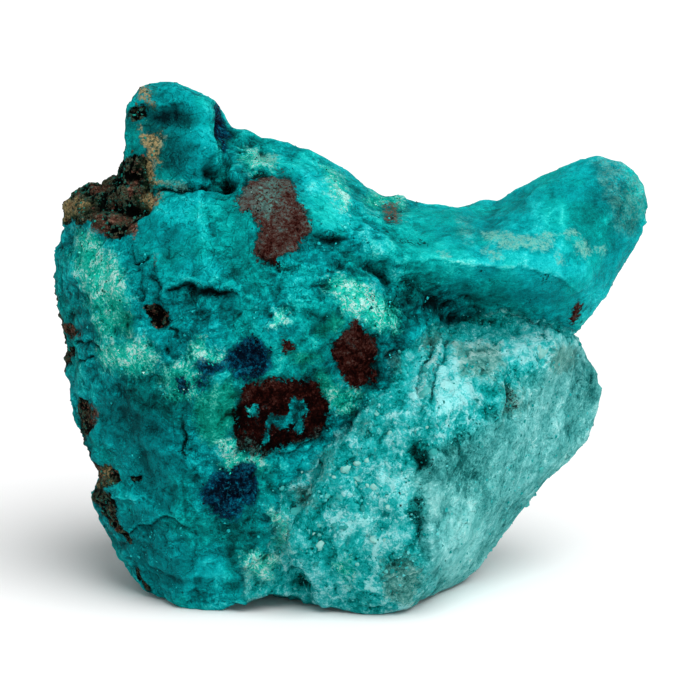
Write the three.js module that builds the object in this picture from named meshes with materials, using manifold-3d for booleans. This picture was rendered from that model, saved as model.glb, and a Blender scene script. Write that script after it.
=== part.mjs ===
// A hand specimen of chrysocolla: one broken stone, in millimetres, +Z up, seen from -Y.
// The stone is built the way it broke: a few convex blocks bounded by fracture faces grow through
// each other, shallow conchoidal scoops are knocked out of them, and the bottom is worn flat where it stands.
import * as THREE from "three";
import { ConvexGeometry } from "three/addons/geometries/ConvexGeometry.js";
import { TessellateModifier } from "three/addons/modifiers/TessellateModifier.js";
import { ImprovedNoise } from "three/addons/math/ImprovedNoise.js";
import { mergeVertices } from "three/addons/utils/BufferGeometryUtils.js";
import Module from "manifold-3d";

const wasm = await Module();
wasm.setup();

// Driving dimensions
const facetEdge = 3.7; // longest triangle side on a fracture face
const splitPasses = 16; // halvings that bring the longest corner-to-corner side under facetEdge
const edgeWear = 0.36; // share of the way a vertex moves to its neighbours' middle, which dulls the arrises
const swellSize = 13; // wavelength of the broad undulation
const swellHeight = 0.75;
const chipSize = 4.6; // wavelength of the small chipping
const chipHeight = 0.36;
const standHeight = 0; // the worn standing face is cut at this height
const cutterSpan = 120; // side of the block that cuts the standing face

const colours = {
  chrysocolla: 0x128a8c,
};

// Corners of each block as [across, depth, height]; depth runs away from the viewer.
const blocks = {
  leftBody: [
    // left edge, from the shoulder down to the left foot
    [-32, 0.5, 47.4], [-33.6, -2, 42.6], [-34.8, -2, 37.5], [-33.4, -1, 27], [-30.4, -2, 18],
    [-30, -3, 10], [-25.6, -6, 1], [-18.8, -12.4, -1.2],
    // top edge under the pillar
    [-26.5, -5, 49], [-20, -8.6, 49], [-13.5, -11.4, 48.6], [-2, -12.8, 43.8],
    // belly of the front face
    [-31.6, -8, 38], [-26, -13.4, 37.4], [-17, -18.4, 29], [-7, -18, 37.5], [4.8, -14, 36], [3.6, -13.6, 30],
    [-29.6, -8.4, 24], [-27.4, -9.6, 11], [-20.5, -15.4, 12], [-9, -17.4, 15], [-10.5, -13.2, -1],
    // back
    [-29.6, 8.5, 44.6], [-20, 14, 46.5], [-5, 15, 44], [3, 12, 40], [-30.4, 8, 23], [-25, 15.6, 26],
    [-7, 18, 24], [-24.6, 7, 1.6], [-19, 13, 3], [-6, 14, -1], [3, 12, -1], [4, -8, -1],
  ],
  pillar: [
    [-25.3, -5, 57.6], [-24.2, -4, 59.8], [-21, -4, 60.3], [-17, -6.8, 58.8], [-15.2, -2, 57.2], [-14.6, -1, 54.6],
    [-26, -7.6, 46], [-16.6, -9.8, 46], [-13.6, -3, 45], [-24.4, 4, 57.8], [-16, 4.6, 56.6],
    [-26.2, 9.6, 45], [-9.5, 11.5, 47], [-24, 14, 43], [-12, 15.6, 43],
  ],
  shoulder: [
    [-14.4, 2, 54.2], [-11, 2, 53.2], [-5.4, 1.5, 52.4], [-0.4, 2, 47.4], [4, 2, 45.8],
    [-13.4, -10.4, 48.8], [-4, -12.8, 45.6], [-8.5, -14, 43.6], [-1, -13, 43.6], [5.5, -13, 41.4],
    [-16, 8, 50.4], [-5, 9, 48], [4, 9.5, 44.6], [-13, -6, 36], [5, -6, 36], [-13, 17, 36], [6, 16.4, 34],
  ],
  hornRoot: [
    [0, 2, 46.4], [4, 2, 45.6], [9.3, 0.5, 43.6], [14.5, 3, 44], [19, 4, 45.6], [4.6, -13.4, 41.4],
    [14.6, -12.8, 40.6], [21.6, -11.6, 39.4], [9.8, -5.6, 32.6], [19, -5, 31.6], [4, -6, 32],
    [0, 13.6, 43], [8, 12.8, 41.6], [18, 10.5, 41.6], [-2, 16, 34], [10, 16.6, 29], [20, 12.6, 29],
  ],
  hornTip: [
    [15, 3, 44.2], [18.4, 3.6, 46.4], [22, 4, 48.4], [28.8, 3.4, 51.2], [32, 2, 50.4], [34.6, 0, 47.8], [35, 0, 45.4],
    [33.8, -1, 40.8], [29.8, -3, 34.6], [26.4, -3.6, 31], [21.5, -11.6, 39.4], [25, -9.8, 38], [14.6, -12.6, 40.5],
    [19, -5.4, 31.6], [31, 7.4, 46.4], [31.4, 6, 38], [22, 10.5, 43], [26.4, 9, 31], [12, 13, 34],
  ],
  lowerRight: [
    // top, where it meets the underside of the horn
    [4, -6, 33.6], [10, -6.6, 33.4], [18.6, -5.4, 32.6], [26, -3.4, 31],
    // right edge down to the right foot
    [28.4, 1, 27], [30.4, 4, 22.2], [29.4, 4, 17.4], [24.8, 3, 12.4], [18.8, 2, 5.4], [13, -2.6, 0.2],
    // the upright arris and the face left of it
    [10.6, -16, 25.4], [9.8, -18.4, 18], [9, -17.2, 8], [7.6, -12.6, 0.6], [3, -14.8, -0.8],
    [3, -15.2, 26], [-3, -17.4, 18], [-7, -17.4, 9], [-4.4, -13.8, 0.6],
    // back
    [28.4, 10, 22], [22.4, 13.6, 29], [8, 16.5, 31], [20, 12.5, 11], [6, 17.4, 14], [9, 11, -1], [-4, 13, -1],
  ],
  // fills the corner where the body, the horn and the lower block meet
  innerCorner: [
    [3, -13.2, 37.6], [3.4, -13, 30], [3.8, -14.2, 27], [6.8, -10.4, 38], [8.6, -8.8, 34.4], [8.6, -11.6, 29.4],
    [11.6, -6.8, 33.8], [11.6, -9, 31], [0, 13, 38], [0, 13, 24], [12, 13, 37], [12, 13, 25],
  ],
  backCore: [
    [-17, 16.4, 40], [-2, 17.4, 38.6], [11, 16, 35], [20, 13.4, 26], [14, 14.6, 12], [2, 19.6, 18],
    [-9, 21.4, 29], [-24, 16.6, 30], [-21, 17.8, 15], [-8, 19.4, 7], [-17, 12, 2], [4, 13, 2.4], [-6, 0, 20],
  ],
};

// Scoops taken out of the blocks: centre, radii, and turn about each axis in degrees.
const scoops = {
  hornDish: { at: [20.5, -18, 52], radii: [19, 16, 11], turn: [0, -16, 0] },
  saddle: { at: [9.5, 5, 61.4], radii: [13, 17, 18.2], turn: [0, 0, 0] },
  archway: { at: [-9.5, -14, -2.6], radii: [6.4, 9, 4.6], turn: [0, 0, -6] },
  leftFlank: { at: [-36.4, -4, 14.6], radii: [7.4, 16, 7.8], turn: [0, -10, 0] },
  leftNotch: { at: [-37.6, -5, 24.6], radii: [5.6, 10, 3.2], turn: [0, 8, 0] },
  hornHollow: { at: [22, 25, 51], radii: [20, 17, 13], turn: [0, 16, 0] },
  backBite: { at: [-31, 27, 22], radii: [20, 15, 24], turn: [0, 14, 30] },
  backFlake: { at: [12, 39, 8], radii: [26, 22, 20], turn: [10, -20, -12] },
  heel: { at: [22, 17, 2], radii: [13, 12, 9], turn: [0, 20, 0] },
};

const noise = new ImprovedNoise();

function swell(p, size) {
  return noise.noise(p.x / size + 7.3, p.y / size - 2.1, p.z / size + 4.7);
}

// Broad undulation with sharper chipping on top of it, in millimetres.
function roughness(p) {
  const broad = swell(p, swellSize) * swellHeight;
  const ridged = 1 - 2 * Math.abs(swell(p, chipSize));
  return broad + (ridged - 0.5) * chipHeight;
}

function closedSurface(geometry) {
  geometry.deleteAttribute("normal");
  geometry.deleteAttribute("uv");
  return mergeVertices(geometry, 1e-3);
}

// Splits the faces evenly, so that there are vertices to wear and roughen.
function subdivide(geometry) {
  return closedSurface(new TessellateModifier(facetEdge, splitPasses).modify(geometry));
}

// Moves each vertex part of the way to the middle of its neighbours.
function wearEdges(geometry) {
  const position = geometry.attributes.position;
  const index = geometry.index;
  const sums = new Float32Array(position.count * 4);
  for (let i = 0; i < index.count; i += 3) {
    for (const [a, b] of [[0, 1], [1, 2], [2, 0]]) {
      const from = index.getX(i + a);
      const to = index.getX(i + b);
      sums[from * 4] += position.getX(to);
      sums[from * 4 + 1] += position.getY(to);
      sums[from * 4 + 2] += position.getZ(to);
      sums[from * 4 + 3] += 1;
    }
  }
  const here = new THREE.Vector3();
  const middle = new THREE.Vector3();
  for (let i = 0; i < position.count; i++) {
    here.fromBufferAttribute(position, i);
    middle.set(sums[i * 4], sums[i * 4 + 1], sums[i * 4 + 2]).divideScalar(sums[i * 4 + 3]);
    here.lerp(middle, edgeWear);
    position.setXYZ(i, here.x, here.y, here.z);
  }
}

function roughen(geometry, sign = 1) {
  geometry.computeVertexNormals();
  const { position, normal } = geometry.attributes;
  const p = new THREE.Vector3();
  const n = new THREE.Vector3();
  for (let i = 0; i < position.count; i++) {
    p.fromBufferAttribute(position, i);
    n.fromBufferAttribute(normal, i);
    p.addScaledVector(n, sign * roughness(p));
    position.setXYZ(i, p.x, p.y, p.z);
  }
  geometry.deleteAttribute("normal");
}

function solidOf(geometry) {
  const surface = closedSurface(geometry);
  return new wasm.Manifold(
    new wasm.Mesh({
      numProp: 3,
      vertProperties: new Float32Array(surface.attributes.position.array),
      triVerts: new Uint32Array(surface.index.array),
    }),
  );
}

function geometryOf(solid) {
  const mesh = solid.getMesh();
  const geometry = new THREE.BufferGeometry();
  geometry.setAttribute("position", new THREE.BufferAttribute(mesh.vertProperties, 3));
  geometry.setIndex(new THREE.BufferAttribute(mesh.triVerts, 1));
  geometry.computeVertexNormals();
  return geometry;
}

function block(corners) {
  const hull = new ConvexGeometry(corners.map((corner) => new THREE.Vector3(...corner)));
  const surface = subdivide(hull);
  wearEdges(surface);
  roughen(surface);
  return solidOf(surface);
}

function scoop({ at, radii, turn }) {
  const ball = new THREE.IcosahedronGeometry(1, 9);
  ball.scale(...radii);
  const angles = turn.map(THREE.MathUtils.degToRad);
  ball.applyMatrix4(new THREE.Matrix4().makeRotationFromEuler(new THREE.Euler(...angles)));
  ball.translate(...at);
  const surface = closedSurface(ball);
  roughen(surface, -1);
  return solidOf(surface);
}

function standingCut() {
  const below = new THREE.BoxGeometry(cutterSpan, cutterSpan, cutterSpan);
  below.translate(0, 0, standHeight - cutterSpan / 2);
  return solidOf(below);
}

function stoneSolid() {
  let stone = null;
  for (const corners of Object.values(blocks)) {
    stone = stone ? stone.add(block(corners)) : block(corners);
  }
  for (const shape of Object.values(scoops)) stone = stone.subtract(scoop(shape));
  return stone.subtract(standingCut());
}

function material(colour) {
  return new THREE.MeshStandardMaterial({ color: colour, roughness: 0.6, metalness: 0 });
}

const stone = new THREE.Mesh(geometryOf(stoneSolid()), material(colours.chrysocolla));
stone.name = "chrysocolla_stone";

// The origin is under the middle of the stone, on the surface that it stands on.
stone.geometry.computeBoundingBox();
const { min, max } = stone.geometry.boundingBox;
stone.position.set(-(min.x + max.x) / 2, -(min.y + max.y) / 2, -min.z);

const specimen = new THREE.Group();
specimen.add(stone);

export default specimen;
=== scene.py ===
import math

import bmesh
import bpy
import numpy as np
from mathutils import Matrix, Vector, noise


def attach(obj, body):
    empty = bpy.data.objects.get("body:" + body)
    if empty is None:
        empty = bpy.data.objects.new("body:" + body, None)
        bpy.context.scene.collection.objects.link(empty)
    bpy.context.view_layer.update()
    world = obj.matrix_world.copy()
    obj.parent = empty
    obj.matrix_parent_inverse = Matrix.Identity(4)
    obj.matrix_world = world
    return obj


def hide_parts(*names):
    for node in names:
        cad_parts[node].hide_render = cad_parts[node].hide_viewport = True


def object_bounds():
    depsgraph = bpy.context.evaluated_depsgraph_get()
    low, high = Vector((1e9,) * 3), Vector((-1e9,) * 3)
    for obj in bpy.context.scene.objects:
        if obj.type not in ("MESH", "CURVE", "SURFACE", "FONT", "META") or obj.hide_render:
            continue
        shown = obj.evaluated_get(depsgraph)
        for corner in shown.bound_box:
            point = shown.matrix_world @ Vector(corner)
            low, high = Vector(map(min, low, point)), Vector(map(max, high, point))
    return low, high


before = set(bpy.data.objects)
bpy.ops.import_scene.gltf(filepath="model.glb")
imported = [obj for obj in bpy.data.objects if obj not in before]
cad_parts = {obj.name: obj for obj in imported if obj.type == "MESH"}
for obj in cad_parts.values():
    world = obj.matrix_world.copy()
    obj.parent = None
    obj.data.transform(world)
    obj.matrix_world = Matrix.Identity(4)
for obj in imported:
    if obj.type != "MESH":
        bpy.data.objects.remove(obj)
cadLow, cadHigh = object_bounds()
mm = 0.001

# The camera looks a little down on the stone. Everything drawn on its front is drawn square to this camera.
view = {
    "lens": 140,  # mm
    "sensor": 36,  # mm
    "distance": 320 * mm,
    "elevation": 12,  # degrees
    "aimHeight": 0.468,  # share of the stone's height
    "aimAside": Vector((-0.02, -1.40, 0)) * mm,
}
aim = Vector((0, 0, view["aimHeight"] * cadHigh.z)) + view["aimAside"]


def viewAxes(azimuth, elevation=view["elevation"]):
    # across, up and towards the viewer, for a viewer who walks round the stone
    turn, lift = math.radians(azimuth), math.radians(elevation)
    across = Vector((math.cos(turn), math.sin(turn), 0))
    towards = Vector((math.sin(turn) * math.cos(lift), -math.cos(turn) * math.cos(lift), math.sin(lift)))
    return across, towards.cross(across), towards


def makeCamera():
    across, up, towards = viewAxes(0)
    data = bpy.data.cameras.new("camera")
    data.lens, data.sensor_width = view["lens"], view["sensor"]
    data.clip_start, data.clip_end = 0.01, 20
    camera = bpy.data.objects.new("camera", data)
    camera.location = aim + towards * view["distance"]
    camera.rotation_euler = Matrix((across, up, towards)).transposed().to_euler()
    bpy.context.scene.collection.objects.link(camera)
    bpy.context.scene.camera = camera


makeCamera()
print("camera is in place")

sides = {"front": 0, "right": 90, "back": 180, "left": 270, "top": 0}


class Sheet:
    # the stone's points as they are seen from one side, in mm across and up from the aim
    def __init__(self, side, points, normals):
        across, up, towards = viewAxes(sides[side], 90 if side == "top" else view["elevation"])
        away = points - np.array(aim)
        distance = view["distance"]
        near = distance / (distance - away @ np.array(towards)) if side == "front" else 1
        self.drawn = np.stack([away @ np.array(across) * near, away @ np.array(up) * near], 1) / mm
        self.facing = normals @ np.array(towards)

    def inside(self, outline):
        # distance in mm into a closed outline, below zero outside it
        drawn = self.drawn
        nearest = np.full(len(drawn), 1e9)
        within = np.zeros(len(drawn), bool)
        for a, b in zip(outline, outline[1:] + outline[:1]):
            nearest = np.minimum(nearest, self.fromEdge(a, b)[0])
            crosses = (a[1] > drawn[:, 1]) != (b[1] > drawn[:, 1])
            slope = (b[0] - a[0]) / ((b[1] - a[1]) or 1)
            within ^= crosses & (drawn[:, 0] < a[0] + slope * (drawn[:, 1] - a[1]))
        return np.where(within, nearest, -nearest)

    def fromEdge(self, a, b):
        a, edge = np.array(a), np.array(b) - np.array(a)
        along = np.clip((self.drawn - a) @ edge / (edge @ edge), 0, 1)
        away = self.drawn - a - along[:, None] * edge
        left = away @ np.array([-edge[1], edge[0]]) / np.linalg.norm(edge)
        return np.linalg.norm(away, axis=1), left, along

    def fromLine(self, line):
        # distance to an open line in mm, which side of it a point is on, and how far along it (0 to 1)
        nearest = np.full(len(self.drawn), 1e9)
        side = np.zeros(len(self.drawn))
        share = np.zeros(len(self.drawn))
        for i, (a, b) in enumerate(zip(line, line[1:])):
            away, left, along = self.fromEdge(a, b)
            closer = away < nearest
            nearest[closer] = away[closer]
            side[closer] = left[closer]
            share[closer] = (i + along[closer]) / (len(line) - 1)
        return nearest, side, share

    def spot(self, across, up, wide, tall, turn=0):
        # 1 at the middle of a soft oval, falling to 0 past its rim
        c, s = math.cos(math.radians(turn)), math.sin(math.radians(turn))
        x, y = self.drawn[:, 0] - across, self.drawn[:, 1] - up
        return np.exp(-(((x * c + y * s) / wide) ** 2 + ((y * c - x * s) / tall) ** 2))


def smoothStep(value, low, high):
    share = np.clip((value - low) / (high - low), 0, 1)
    return share * share * (3 - 2 * share)


def noiseAt(points, size, octaves=1, offset=0.0):
    # fractal noise about zero at points in metres; size is in mm
    scaled = points / (size * mm) + offset
    if octaves == 1:
        return np.array([noise.noise(p) for p in scaled])
    return np.array([noise.fractal(p, 0.9, 2.1, octaves) for p in scaled])


def ridgesAt(points, size, octaves, offset=0.0):
    scaled = points / (size * mm) + offset
    return np.array([noise.ridged_multi_fractal(p, 1.0, 2.1, octaves, 1.0, 2.0) for p in scaled])


def lumpsAt(points, size, offset=0.0):
    # rounded lumps packed side by side: 1 at a lump's middle, 0 in the seams between lumps
    scaled = points / (size * mm) + offset
    near = np.array([noise.voronoi(p)[0][:2] for p in scaled])
    return np.clip((near[:, 1] - near[:, 0]) * 1.6, 0, 1)


def flakesAt(points, size, offset=0.0):
    # flat facets that meet in creases: each cell of a broken surface leans its own way
    scaled = points / (size * mm) + offset
    found = [noise.voronoi(p) for p in scaled]
    near = np.array([f[0][:2] for f in found])
    heights = []
    for i in (0, 1):
        middles = np.array([f[1][i] for f in found])
        leans = np.array([noise.cell_vector(Vector(m) * 57.3) for m in middles]) - 0.5
        heights.append(np.einsum("ij,ij->i", scaled - middles, leans) * 2)
    share = 0.5 + 0.5 * smoothStep(near[:, 1] - near[:, 0], 0, 0.12)
    return heights[0] * share + heights[1] * (1 - share)


stoneShape = {
    "grain": 0.5,  # mm, the mesh's own spacing, halved beside cracks, ledges and in the crust
    "roundPasses": 1,
    "waveSize": 5.2, "waveHeight": 0.12,  # mm
    "chipSize": 1.3, "chipHeight": 0.12,
    "beddingSize": 1.5, "beddingHeight": 0.16,  # level ripples of the waxy mineral
    "ridgeSize": 7.5, "ridgeHeight": 0.12,
    "facetSize": 6.0, "facetHeight": 0.55,  # broken facets
    "flakeSize": 2.4, "flakeHeight": 0.38,
    "scaleSize": 1.1, "scaleHeight": 0.16,
    "pebbleSize": 1.5, "pebbleHeight": 0.10,  # the sandy face
    "foldSize": 3.4, "foldHeight": 0.55,  # slanting splinters of the sandy face
    "crustSize": 1.9, "crustHeight": 0.55, "crumbSize": 0.8, "crumbHeight": 0.24,  # the rusty crust
    "warpSize": 2.6, "frontWarp": 0.55, "sideWarp": 1.9,  # how far drawn outlines wander
    "standing": 0.9,  # mm; relief fades out below this height, so that the stone still stands flat
}

# Where each kind of ground lies, as closed outlines on a side, in mm across and up from the aim.
grounds = {}
grounds["sandy"] = {
    "front": [
        [(4.0, -4.9), (6.1, -0.2), (10.6, 3.1), (17.6, 4.5), (24.7, 3.3), (27.0, 1.9), (30.8, -4.5),
         (29.4, -11.8), (20.0, -21.2), (12.3, -29.4), (3.5, -31.7), (-3.8, -31.0), (-12.2, -28.9),
         (-12.9, -25.9), (-9.9, -24.7), (-8.7, -20.0), (-8.0, -16.7), (-5.2, -13.9), (-2.4, -10.8),
         (0.2, -8.2)],
    ],
    "right": [[(-24, -30), (-20, -4), (-4, -3), (9, -3), (24, -4), (24, -30)]],
    "back": [[(-40, -30), (-38, 8), (-24, 6), (-10, -4), (2, -12), (0, -30)]],
}
grounds["smoothSand"] = {
    "front": [
        [(7.1, -14.6), (10.1, -12.0), (15.3, -9.6), (18.1, -7.5), (20.5, -4.9), (23.3, -1.9), (24.2, 1.2),
         (28.2, 1.2), (31.7, -4.7), (29.4, -12.9), (20.0, -22.3), (12.3, -29.9), (9.4, -29.9),
         (8.9, -24.7), (8.5, -18.8)],
    ],
    "right": [[(-24, -30), (-18, -5), (14, -5), (24, -6), (24, -30)]],
}
grounds["calm"] = {  # smooth waxy faces
    "front": [
        [(-25.9, 17.9), (-13.4, 18.3), (-11.8, 13.4), (-12.2, 7.8), (-17.0, 8.7), (-23.5, 8.9),
         (-25.4, 13.4)],
        [(-29.4, -5.9), (-20.2, -5.9), (-20.0, -20.0), (-27.0, -20.9), (-29.9, -15.3)],
        [(-25.9, 30.6), (-16.9, 29.9), (-16.9, 20.0), (-25.6, 19.5)],
        [(-10.3, 23.7), (-5.9, 23.7), (-1.9, 21.2), (0.5, 16.7), (-0.9, 13.6), (-4.5, 15.0), (-5.2, 18.8),
         (-7.1, 20.9)],
        [(-27.3, -21.9), (-18.1, -21.4), (-13.4, -23.3), (-13.4, -28.2), (-23.5, -28.4)],
        [(10.1, -5.9), (14.1, -3.5), (17.6, -2.6), (24.7, -3.5), (29.4, -4.7), (29.4, -11.8),
         (20.0, -22.3), (10.6, -24.7)],
    ],
}
grounds["horn"] = {
    "front": [
        [(4.9, 13.2), (6.8, 16.5), (10.6, 18.1), (20.0, 21.2), (28.2, 24.7), (36.4, 23.5), (36.4, 12.9),
         (30.6, 4.7), (27.0, 2.4), (22.3, 3.8), (14.1, 5.9), (9.4, 8.8)],
    ],
    "right": [[(-9, 30), (-8, 12), (8, 12), (12, 30)]],
    "back": [[(-40, 30), (-40, 5), (-24, 10), (-12, 16), (-8, 30)]],
    "top": [[(8, -18), (8, 14), (40, 14), (40, -18)]],
}
grounds["crust"] = {
    "front": [
        [(-34.3, 14.8), (-34.1, 17.6), (-32.7, 20.0), (-30.6, 20.2), (-28.4, 20.2), (-27.3, 21.6),
         (-25.4, 23.3), (-23.5, 22.6), (-22.8, 20.5), (-23.0, 18.3), (-22.6, 17.3), (-23.5, 16.0),
         (-24.9, 15.0), (-25.6, 13.6), (-27.0, 12.7), (-28.6, 13.2), (-29.6, 14.8), (-31.0, 15.0),
         (-32.7, 14.9)],
        [(-24.5, 5.4), (-22.7, 5.6), (-21.6, 4.6), (-21.7, 3.2), (-22.6, 2.0), (-23.6, 2.6), (-24.2, 3.9)],
        [(-34.1, 2.8), (-32.4, 2.9), (-32.1, 2.0), (-33.6, 1.4)],
        [(-33.6, 0.5), (-32.6, 0.0), (-32.7, -1.9), (-33.6, -1.4)],
        [(-32.0, -5.4), (-30.6, -5.6), (-30.1, -7.3), (-30.2, -8.7), (-30.6, -10.1), (-30.3, -12.3),
         (-31.3, -10.6), (-31.7, -7.8)],
        [(-31.3, -12.7), (-29.6, -13.0), (-28.7, -13.9), (-27.7, -14.3), (-27.5, -15.5), (-28.7, -16.2),
         (-28.4, -17.6), (-27.5, -19.0), (-26.8, -20.5), (-25.4, -22.6), (-26.3, -22.6), (-27.7, -21.2),
         (-29.6, -18.6), (-31.3, -15.3)],
        [(-25.4, -25.4), (-24.5, -26.1), (-23.5, -28.2), (-24.9, -27.5)],
        [(-25.9, -14.7), (-24.5, -15.2), (-24.5, -15.8), (-25.4, -15.5)],
        [(-25.9, 28.3), (-24.0, 28.6), (-24.2, 27.0), (-25.6, 26.3)],
    ],
    "left": [
        [(-13, 14), (-4, 19), (6, 19), (12, 14), (9, 9), (0, 12), (-9, 9)],
        [(-3, 2), (4, 4), (7, -3), (2, -9), (-3, -5)],
        [(-9, -9), (-4, -8), (-2, -15), (-7, -19), (-11, -14)],
    ],
    "back": [
        [(20, 22), (30, 22), (38, 12), (33, 3), (24, 9), (17, 15)],
        [(-2, -8), (6, -4), (9, -12), (3, -17), (-4, -14)],
    ],
    "top": [[(-36, -6), (-30, 6), (-24, 4), (-24, -6)]],
}

# Lines that are both a crack and a ledge.
lowerStep = [(-26.8, -21.7), (-25.2, -21.2), (-23.3, -20.0), (-21.9, -19.6), (-20.5, -19.7),
             (-19.3, -20.5), (-18.3, -21.3)]
backStep = [(-14, 14), (-6, 8), (2, 9), (10, 4), (20, 6)]
backSlant = [(2, 22), (8, 18), (14, 19)]
leftStep = [(-14, 8), (-6, 6), (2, 8), (6, 7)]
rightStep = [(-12, 6), (-2, 8), (8, 6)]

# Cracks and clefts, as lines on a side: width and depth in mm, and how dark the painted shade in them is.
clefts = {
    "front": [
        # under the pillar
        ([(-23.5, 18.8), (-21.4, 18.7), (-19.3, 19.0), (-16.9, 18.8), (-14.6, 18.7),
          (-13.6, 19.3)], 0.8, 0.9, 1.0),
        ([(-13.8, 19.0), (-14.0, 20.9), (-14.2, 22.8)], 0.7, 0.5, 0.5),
        ([(-12.9, 19.5), (-11.9, 20.2), (-10.6, 20.6), (-9.2, 20.7)], 0.5, 0.4, 0.9),
        # under the upper face
        ([(-21.6, 7.1), (-20.7, 7.5), (-19.3, 7.8), (-17.6, 7.5), (-16.2, 6.9),
          (-14.6, 6.7)], 0.6, 0.5, 0.5),
        ([(-24.9, 11.8), (-24.3, 9.6), (-24.2, 7.1), (-24.5, 5.2)], 0.5, 0.3, 0.6),
        ([(-25.4, 10.1), (-24.5, 10.3), (-23.5, 10.6)], 0.4, 0.3, 0.8),
        ([(-23.7, 8.5), (-22.8, 8.0), (-21.9, 6.8)], 0.5, 0.3, 0.6),
        # left edge
        ([(-32.2, 1.1), (-31.3, 0.7), (-29.9, 0.6), (-28.7, 0.5)], 0.5, 0.5, 0.8),
        ([(-32.0, -1.4), (-31.0, -1.3), (-30.0, -0.6)], 0.4, 0.4, 0.7),
        ([(-21.6, 2.8), (-20.7, 2.1), (-20.9, 1.4), (-20.2, 0.9)], 0.4, 0.3, 0.9),
        ([(-21.9, 0.5), (-21.4, -0.2), (-21.6, -0.9)], 0.4, 0.3, 0.8),
        # the upright slit and the crack that runs on down from it
        ([(-19.9, -8.0), (-19.6, -9.6), (-19.7, -11.3), (-19.5, -12.2)], 0.6, 0.5, 0.8),
        ([(-19.5, -12.2), (-19.2, -14.1), (-19.6, -16.2), (-19.5, -18.1), (-19.0, -19.5), (-18.1, -21.4),
          (-18.1, -23.3), (-18.6, -25.4)], 0.4, 0.15, 0.4),
        (lowerStep, 0.4, 0.2, 0.45),
        # round the brown patches
        ([(-11.0, 12.0), (-10.1, 10.6), (-8.7, 9.6), (-6.8, 10.1)], 0.6, 0.4, 0.5),
        ([(-2.4, -8.5), (-3.8, -9.9), (-5.6, -11.0), (-7.5, -11.9), (-9.2, -12.5)], 0.5, 0.3, 0.6),
        ([(-1.4, -8.7), (-3.3, -10.1), (-5.2, -11.8)], 0.5, 0.3, 0.5),
        # the head of the hollow under the horn
        ([(-3.8, 12.6), (-1.9, 12.8), (0.0, 13.2)], 0.9, 0.5, 0.5),
        ([(19.7, 3.6), (21.6, 3.1), (23.5, 2.5), (25.4, 2.2)], 0.5, 0.4, 0.6),
        # the sandy face
        ([(11.6, 1.6), (11.2, -0.7), (10.2, -2.8), (9.6, -4.9), (9.4, -7.1)], 0.6, 0.5, 0.7),
        ([(10.2, 1.9), (9.6, -0.2), (8.6, -1.9), (8.1, -4.5), (8.0, -6.8)], 0.5, 0.4, 0.7),
        ([(9.6, -11.5), (8.7, -12.7), (7.5, -13.9), (7.1, -15.0)], 0.7, 0.3, 0.4),
        ([(7.3, -16.5), (7.9, -18.1), (8.3, -20.0), (8.0, -21.9), (8.7, -24.2)], 0.7, 0.4, 0.45),
        ([(4.5, -13.2), (1.9, -15.0), (-0.7, -16.7), (-3.5, -18.3)], 0.6, 0.25, 0.3),
        ([(26.1, 0.5), (26.8, -2.6), (27.3, -5.2)], 0.7, 0.4, 0.3),
        ([(27.0, 0.0), (28.2, -2.8), (28.7, -5.4)], 0.7, 0.4, 0.3),
    ],
    "back": [
        (backStep, 0.7, 0.7, 0.9),
        ([(-22, 6), (-14, -2), (-10, -12), (-3, -20)], 0.6, 0.4, 0.6),
        ([(10, 4), (14, -6), (13, -16)], 0.5, 0.4, 0.7),
        (backSlant, 0.6, 0.5, 0.8),
    ],
    "left": [
        (leftStep, 0.6, 0.5, 0.7),
        ([(-12, -4), (-4, -7), (3, -5)], 0.5, 0.4, 0.8),
    ],
    "right": [
        (rightStep, 0.6, 0.5, 0.5),
    ],
}

# Ledges: the ground to the left of the line, as it runs, stands proud of the rest; rise and reach in mm.
ledges = {
    "front": [
        ([(-24.0, 5.9), (-21.9, 7.1), (-20.9, 7.6), (-19.3, 8.0), (-17.6, 7.8), (-16.2, 7.2), (-14.8, 6.9),
          (-12.5, 6.2), (-10.3, 6.1)], 1.0, 4.0),
        ([(-24.3, 5.4), (-24.2, 7.1), (-24.5, 9.6), (-25.4, 11.5), (-25.9, 13.4)], -0.5, 2.0),
        (lowerStep, 0.45, 3.0),
        ([(-9.2, -12.5), (-7.5, -11.9), (-5.6, -11.0), (-3.8, -9.9), (-2.4, -8.5), (0.2, -6.3)], 0.5, 3.0),
        ([(-11.0, 12.0), (-10.1, 10.6), (-8.7, 9.6), (-6.8, 10.1), (-5.2, 10.7)], 0.35, 2.0),
        ([(-32.0, 0.5), (-30.3, 0.5), (-28.7, 0.4), (-27.3, 0.9)], 0.4, 2.0),
        ([(-30.3, -18.6), (-28.2, -17.6), (-25.4, -17.4), (-22.3, -18.3)], 0.3, 2.5),
        ([(-10.3, -14.1), (-8.7, -15.0), (-7.8, -17.4), (-8.5, -20.0)], -0.3, 2.5),
        ([(1.6, 1.2), (3.5, -0.2), (3.1, -3.1)], -0.4, 2.0),
        ([(4.2, 10.3), (7.3, 10.3), (10.6, 10.5), (14.1, 10.1), (18.8, 9.8), (23.3, 8.9), (26.1, 7.5),
          (27.3, 5.6)], 0.3, 3.0),
        ([(-24.7, 28.4), (-23.3, 28.9), (-20.9, 29.0), (-18.3, 28.6)], 0.45, 1.8),
        ([(4.9, -0.2), (7.1, -1.9), (6.1, -5.9), (5.4, -9.4)], -0.35, 2.0),
        ([(-5.9, -14.3), (-4.0, -13.2), (-2.1, -11.0)], 0.3, 2.0),
    ],
    "back": [
        (backStep, 0.9, 4.0),
        ([(-22, 6), (-14, -2), (-10, -12)], 0.4, 3.0),
        (backSlant, 0.4, 2.5),
    ],
    "left": [
        (leftStep, 0.4, 2.5),
    ],
    "right": [
        (rightStep, 0.4, 2.5),
    ],
}

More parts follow.
